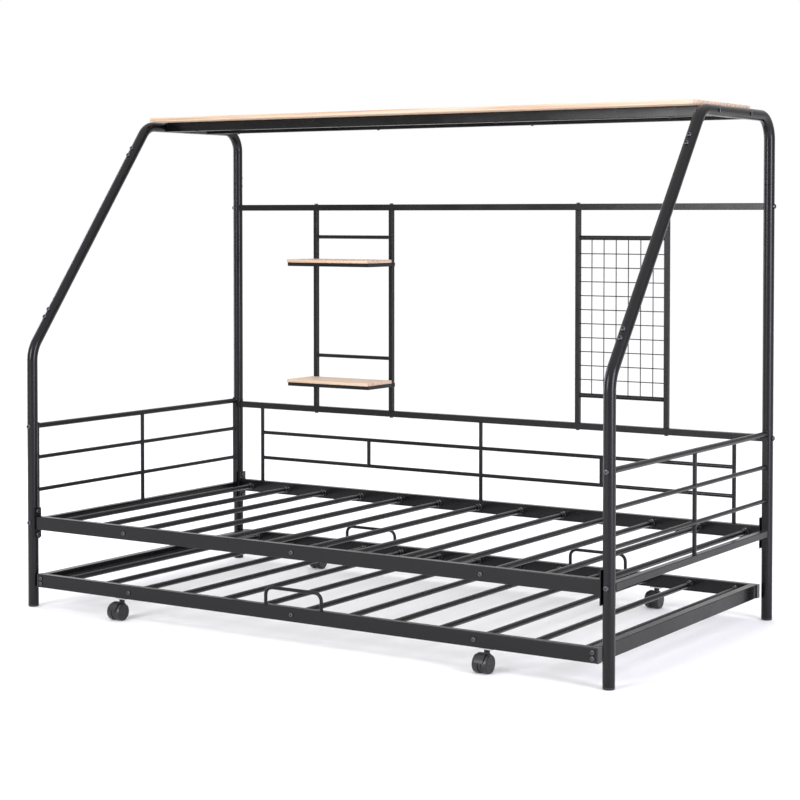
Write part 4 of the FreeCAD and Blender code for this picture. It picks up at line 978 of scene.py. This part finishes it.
# ---------------------------------------------------------------- studio
@dataclass
class Softbox:
    """One rectangular studio light."""

    name: str
    place: tuple[float, float, float]
    target: tuple[float, float, float]
    size: tuple[float, float]
    power: float
    colour: str = "#ffffff"

    def build(self) -> None:
        """Hangs the light."""
        light = bpy.data.lights.new(self.name, "AREA")
        light.shape = "RECTANGLE"
        light.size, light.size_y = self.size
        light.energy = self.power
        light.color = linear(self.colour)[:3]
        lamp = bpy.data.objects.new(self.name, light)
        bpy.context.scene.collection.objects.link(lamp)
        lamp.location = self.place
        aim = Vector(self.target) - Vector(self.place)
        lamp.rotation_euler = aim.to_track_quat("-Z", "Y").to_euler()


@dataclass
class Studio:
    """A pale floor, a bright backdrop behind the bed, softboxes and the camera."""

    floor_half: float = 30.0
    floor_colour: str = "#f2f2f2"
    floor_roughness: float = 0.7
    camera_place: tuple[float, float, float] = (3.2102, -4.9221, 1.1855)
    azimuth: float = 32.931
    pitch: float = 1.858
    lens: float = 89.0
    sensor: float = 36.0
    shift: float = -0.15
    sight: float = 200.0
    backdrop: float = 1.0
    backdrop_range: tuple[float, float] = (0.72, 0.93)
    sides: float = 0.6
    ceiling: float = 1.36
    ceiling_range: tuple[float, float] = (0.25, 0.8)

    def build(self) -> None:
        """Sets up everything round the bed."""
        self.lay_floor()
        self.light_world()
        for box in SOFTBOXES:
            box.build()
        self.aim_camera()
        bpy.context.scene.view_settings.view_transform = "Standard"

    def lay_floor(self) -> None:
        """Lays the plain floor."""
        bm = bmesh.new()
        bmesh.ops.create_grid(bm, x_segments=1, y_segments=1, size=self.floor_half)
        mesh = bpy.data.meshes.new("studio_floor")
        bm.to_mesh(mesh)
        bm.free()
        paint = Finish("matt_floor_paint", "floor", self.floor_colour, self.floor_roughness)
        mesh.materials.append(paint.build())
        floor = bpy.data.objects.new("studio_floor", mesh)
        bpy.context.scene.collection.objects.link(floor)

    def light_world(self) -> None:
        """Lights the room: white behind the bed and overhead, dimmer at its sides."""
        world = bpy.data.worlds.new("studio")
        world.use_nodes = True
        bpy.context.scene.world = world
        tree = world.node_tree
        tree.nodes.clear()
        behind = Vector((-math.sin(math.radians(self.azimuth)), math.cos(math.radians(self.azimuth)), 0))
        wall = self.share_towards(tree, behind, self.backdrop_range)
        overhead = self.share_towards(tree, Vector((0, 0, 1)), self.ceiling_range)
        level = blend(tree, wall, self.sides, self.backdrop, "FLOAT")
        level = blend(tree, overhead, level, self.ceiling, "FLOAT")
        background = add_node(tree, "ShaderNodeBackground", {"Strength": level})
        background.inputs["Color"].default_value = linear("#ffffff")
        output = add_node(tree, "ShaderNodeOutputWorld")
        tree.links.new(background.outputs["Background"], output.inputs["Surface"])

    def share_towards(
        self, tree: bpy.types.NodeTree, heading: Vector, cosines: tuple[float, float]
    ) -> bpy.types.NodeSocket:
        """Adds a soft share that grows towards one direction of the room.

        Args:
            tree: The world's node tree.
            heading: The direction.
            cosines: Cosines to the direction where the share starts and where it is whole.

        Returns:
            The share's socket.
        """
        place = add_node(tree, "ShaderNodeTexCoord")
        facing = add_node(
            tree, "ShaderNodeVectorMath", {0: place.outputs["Generated"], 1: heading}, operation="DOT_PRODUCT"
        )
        return remap(tree, facing.outputs["Value"], cosines, interpolation_type="SMOOTHSTEP")

    def aim_camera(self) -> None:
        """Stands the camera in front of the bed's right corner."""
        data = bpy.data.cameras.new("studio_camera")
        data.lens = self.lens
        data.sensor_width = self.sensor
        data.shift_y = self.shift
        data.clip_end = self.sight
        camera = bpy.data.objects.new("studio_camera", data)
        bpy.context.scene.collection.objects.link(camera)
        camera.location = self.camera_place
        camera.rotation_euler = (math.radians(90 - self.pitch), 0, math.radians(self.azimuth))
        bpy.context.scene.camera = camera


SOFTBOXES = (
    Softbox("front_softbox", (-1.3, -6.0, 2.5), (0.3, 0, 1.0), (1.5, 3.0), 240),
    Softbox("right_softbox", (5.2, -1.2, 1.7), (0.6, 0.2, 0.9), (1.6, 3.0), 240, "#e9e6ff"),
    Softbox("left_strip", (-5.0, 0.6, 1.7), (-0.6, 0.0, 0.9), (1.4, 3.0), 120, "#eceaff"),
)


def main() -> None:
    """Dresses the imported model, adds the detail pieces and sets up the studio."""
    logging.basicConfig(level=logging.INFO, format="%(name)s %(message)s")
    shop = Workshop()
    shop.dress_nodes()
    for side in Side:
        EndFrame(side).build(shop)
    SlattedBase("bed_slats", "bed_slat_caps", "frame").build(shop)
    SlattedBase("trundle_slats", "trundle_slat_caps", "trundle").build(shop)
    Boards().build(shop)
    for side in Side:
        for row in Row:
            CasterWheels(side, row).build(shop)
    Retainers().build(shop)
    for node in ("guard_rails", "guard_bars", "backrest_bars"):
        RoundBars(node).build(shop)
    RoundBars("grid_wires", bead=0.5 * MM, facets=12).build(shop)
    for node in ("shelf_ladder", "grid_frame"):
        RoundBars(node, Role.WELDS_ONLY, thickest=14.5 * MM).build(shop)
    Studio().build()


if __name__ == "__main__":
    main()
